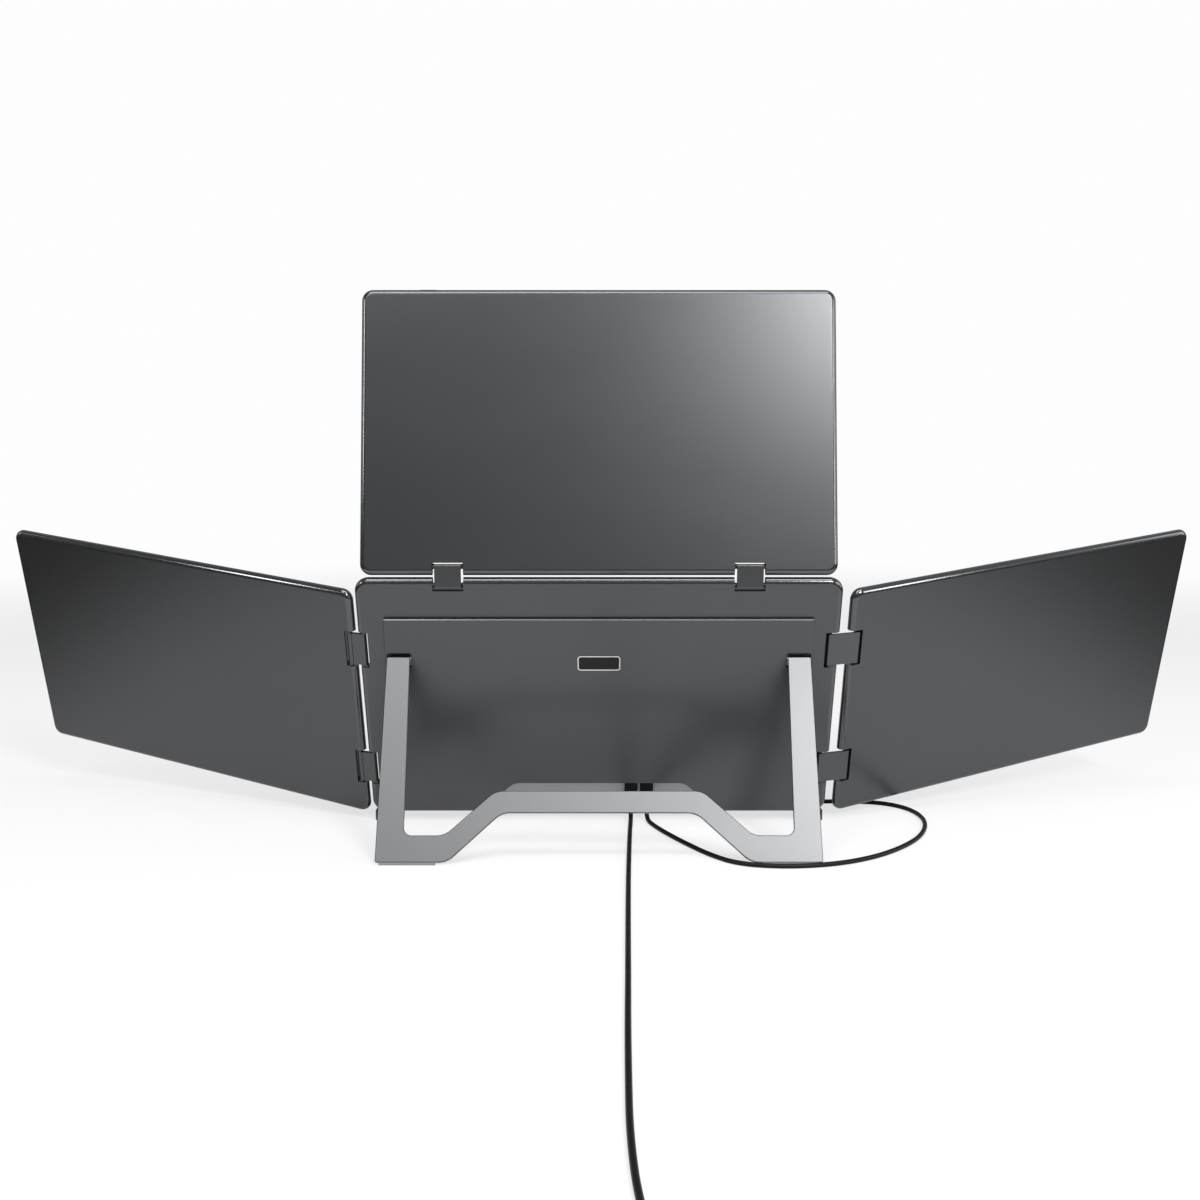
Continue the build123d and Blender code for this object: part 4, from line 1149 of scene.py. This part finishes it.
@dataclass(frozen=True)
class Studio:
    """Floor, surroundings, lamps and camera.

    Lengths are metres here, and the lamps' left and right are the camera's.
    """

    eye: Point = (-0.0008, 1.0102, 0.2878)
    pitch: float = 6.06
    lens: float = 37.69
    sensor: float = 36.0
    sees_to: float = 60.0
    floor_colour: Colour = (0.75, 0.75, 0.75)
    floor_roughness: float = 0.9
    floor_specular: float = 0.1
    floor_half: float = 14.0
    backdrop: float = 0.985
    mirrored_backdrop: float = 0.35
    backdrop_rise: float = 0.6
    room: float = 0.26
    room_slope: float = 0.2
    near_white: float = 0.66
    whitens: tuple[float, float] = (1.0, 3.0)
    mirrored_white: float = 0.1
    table_edge: tuple[float, float] = (0.48, 0.9)
    beyond_table: float = 0.05
    lamps: tuple[Softbox, ...] = (
        Softbox("key_right", (-0.92, 2.05, 1.56), (-0.1, 0.0, 0.32), (0.6, 0.6), 44.0),
        Softbox("fill_left", (0.9, 1.7, 1.9), (0.0, 0.08, 0.1), (0.9, 0.9), 8.0),
        Softbox("overhead", (0.0, 0.7, 2.05), (0.0, 0.05, 0.05), (1.8, 0.6), 25.2),
        Softbox("back_strip", (0.0, 1.42, 1.63), (0.0, 0.06, 0.17), (1.6, 0.09), 4.0),
        Softbox("rim_right", (-1.9, 0.25, 0.75), (0.0, 0.0, 0.25), (0.6, 1.1), 7.0),
        Softbox("rim_left", (1.9, 0.1, 0.9), (0.0, 0.0, 0.25), (0.5, 0.9), 3.0),
        Softbox("edge_right", (-1.5, 0.95, 0.7), (-0.22, 0.03, 0.25), (0.16, 0.6), 5.0),
        Softbox("edge_left", (1.47, 0.8, 0.84), (0.28, 0.0, 0.2), (0.16, 0.5), 4.4))

    def camera(self) -> None:
        """Puts the camera behind the panels, a little above them."""
        data = bpy.data.cameras.new("camera")
        data.lens = self.lens
        data.sensor_width = self.sensor
        data.clip_end = self.sees_to
        obj = bpy.data.objects.new("camera", data)
        obj.location = self.eye
        obj.rotation_euler = (math.radians(90 - self.pitch), 0, math.pi)
        bpy.context.scene.collection.objects.link(obj)
        bpy.context.scene.camera = obj

    def floor(self) -> None:
        """A wide matt floor."""
        half = self.floor_half
        square = [(-half, -half, 0.0), (half, -half, 0.0), (half, half, 0.0), (-half, half, 0.0)]
        mesh = bpy.data.meshes.new("floor")
        mesh.from_pydata(square, [], [[0, 1, 2, 3]])
        obj = bpy.data.objects.new("floor", mesh)
        bpy.context.scene.collection.objects.link(obj)
        mesh.materials.append(self.paper())

    @staticmethod
    def mirrored_ray(tools: Sockets, path: bpy.types.Node) -> bpy.types.NodeSocket:
        """Adds a value of 1 for what metal and glass mirror or let through, 0 for all else.

        Args:
            tools: adds and links the tree's nodes.
            path: the tree's Light Path node.

        Returns:
            The value's socket.
        """
        either = tools.node("ShaderNodeMath", operation="MAXIMUM")
        tools.link(path.outputs["Is Glossy Ray"], either.inputs[0])
        tools.link(path.outputs["Is Transmission Ray"], either.inputs[1])
        return either.outputs[0]

    def paper(self) -> bpy.types.Material:
        """White paper that keeps a soft shadow near the object and fades into the backdrop.

        White share = near share, rising to 1 as the paper whitens outwards; it counts in full
        for the eye and in part for what metal and glass mirror. What they mirror also ends at
        the table's edge, with the dim room beyond it.

        Returns:
            The material.
        """
        material = bpy.data.materials.new("floor_paper")
        material.use_nodes = True
        tools = Sockets(material.node_tree)
        shader = material.node_tree.nodes["Principled BSDF"]
        shader.inputs["Base Color"].default_value = (*self.floor_colour, 1.0)
        shader.inputs["Roughness"].default_value = self.floor_roughness
        shader.inputs["Specular IOR Level"].default_value = self.floor_specular
        white = tools.node("ShaderNodeEmission", Color=(*[self.backdrop] * 3, 1.0), Strength=1.0)
        dim = tools.node("ShaderNodeEmission", Color=(*[self.beyond_table] * 3, 1.0), Strength=1.0)
        where = tools.node("ShaderNodeTexCoord")
        distance = tools.node("ShaderNodeVectorMath", operation="LENGTH")
        tools.link(where.outputs["Object"], distance.inputs[0])
        fade = tools.node("ShaderNodeMapRange", interpolation_type="SMOOTHSTEP",
                          From_Min=self.whitens[0], From_Max=self.whitens[1],
                          To_Min=self.near_white, To_Max=1.0)
        tools.link(distance.outputs["Value"], fade.inputs["Value"])
        edge = tools.node("ShaderNodeMapRange", interpolation_type="SMOOTHSTEP",
                          From_Min=self.table_edge[0], From_Max=self.table_edge[1])
        tools.link(distance.outputs["Value"], edge.inputs["Value"])
        path = tools.node("ShaderNodeLightPath")
        mirrored = self.mirrored_ray(tools, path)
        share = tools.node("ShaderNodeMath", operation="MULTIPLY_ADD")
        share.inputs[1].default_value = self.mirrored_white
        tools.link(mirrored, share.inputs[0])
        tools.link(path.outputs["Is Camera Ray"], share.inputs[2])
        factor = tools.node("ShaderNodeMath", operation="MULTIPLY", use_clamp=True)
        tools.link(share.outputs[0], factor.inputs[0])
        tools.link(fade.outputs["Result"], factor.inputs[1])
        near = tools.node("ShaderNodeMixShader")
        tools.link(factor.outputs[0], near.inputs[0])
        tools.link(shader.outputs[0], near.inputs[1])
        tools.link(white.outputs[0], near.inputs[2])
        beyond = tools.node("ShaderNodeMath", operation="MULTIPLY")
        tools.link(edge.outputs["Result"], beyond.inputs[0])
        tools.link(mirrored, beyond.inputs[1])
        whole = tools.node("ShaderNodeMixShader")
        tools.link(beyond.outputs[0], whole.inputs[0])
        tools.link(near.outputs[0], whole.inputs[1])
        tools.link(dim.outputs[0], whole.inputs[2])
        tools.link(whole.outputs[0], material.node_tree.nodes["Material Output"].inputs["Surface"])
        return material

    def surroundings(self) -> None:
        """White backdrop to the eye, and a room with the backdrop in it to metal and glass.

        Room level = room + slope * (-x) by direction. The backdrop's share in it goes from 0 to
        its mirrored share as -y goes from 0 to the backdrop's rise.
        """
        world = bpy.data.worlds.new("studio")
        bpy.context.scene.world = world
        world.use_nodes = True
        tools = Sockets(world.node_tree)
        room = world.node_tree.nodes["Background"]
        room.inputs["Color"].default_value = (1, 1, 1, 1)
        seen = tools.node("ShaderNodeBackground", Color=(*[self.backdrop] * 3, 1), Strength=1.0)
        where = tools.node("ShaderNodeTexCoord")
        split = tools.node("ShaderNodeSeparateXYZ")
        tools.link(where.outputs["Generated"], split.inputs[0])
        level = tools.node("ShaderNodeMapRange", From_Min=1.0, From_Max=-1.0,
                           To_Min=self.room - self.room_slope, To_Max=self.room + self.room_slope)
        tools.link(split.outputs["X"], level.inputs["Value"])
        tools.link(level.outputs["Result"], room.inputs["Strength"])
        hung = tools.node("ShaderNodeMapRange", interpolation_type="SMOOTHSTEP", From_Min=0.0,
                          From_Max=-self.backdrop_rise, To_Max=self.mirrored_backdrop)
        tools.link(split.outputs["Y"], hung.inputs["Value"])
        path = tools.node("ShaderNodeLightPath")
        share = tools.node("ShaderNodeMath", operation="MULTIPLY_ADD", use_clamp=True)
        tools.link(self.mirrored_ray(tools, path), share.inputs[0])
        tools.link(hung.outputs["Result"], share.inputs[1])
        tools.link(path.outputs["Is Camera Ray"], share.inputs[2])
        mix = tools.node("ShaderNodeMixShader")
        tools.link(share.outputs[0], mix.inputs[0])
        tools.link(room.outputs[0], mix.inputs[1])
        tools.link(seen.outputs[0], mix.inputs[2])
        tools.link(mix.outputs[0], world.node_tree.nodes["World Output"].inputs["Surface"])

    def build(self) -> None:
        """Makes the whole studio."""
        self.camera()
        self.floor()
        self.surroundings()
        for lamp in self.lamps:
            lamp.build()
        bpy.context.scene.view_settings.view_transform = "Standard"


def main() -> None:
    """Builds the pieces in order and reports each."""
    logging.basicConfig(level=logging.INFO, format="%(name)s: %(message)s")
    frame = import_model()
    wardrobe = Wardrobe()
    slots = {part["node"]: part["material_slot"] for part in frame["record"]["subparts"]}
    RigidPieces(frame["nodes"], slots).dress(wardrobe)
    joints = {joint["name"]: joint for joint in frame["record"]["behaviour"]["joints"]}
    for washers in WASHERS:
        washers.build(joints, wardrobe)
    for cord in cords(PanelFrame()):
        cord.build(wardrobe, "centre_panel")
    Studio().build()


if __name__ == "__main__":
    main()
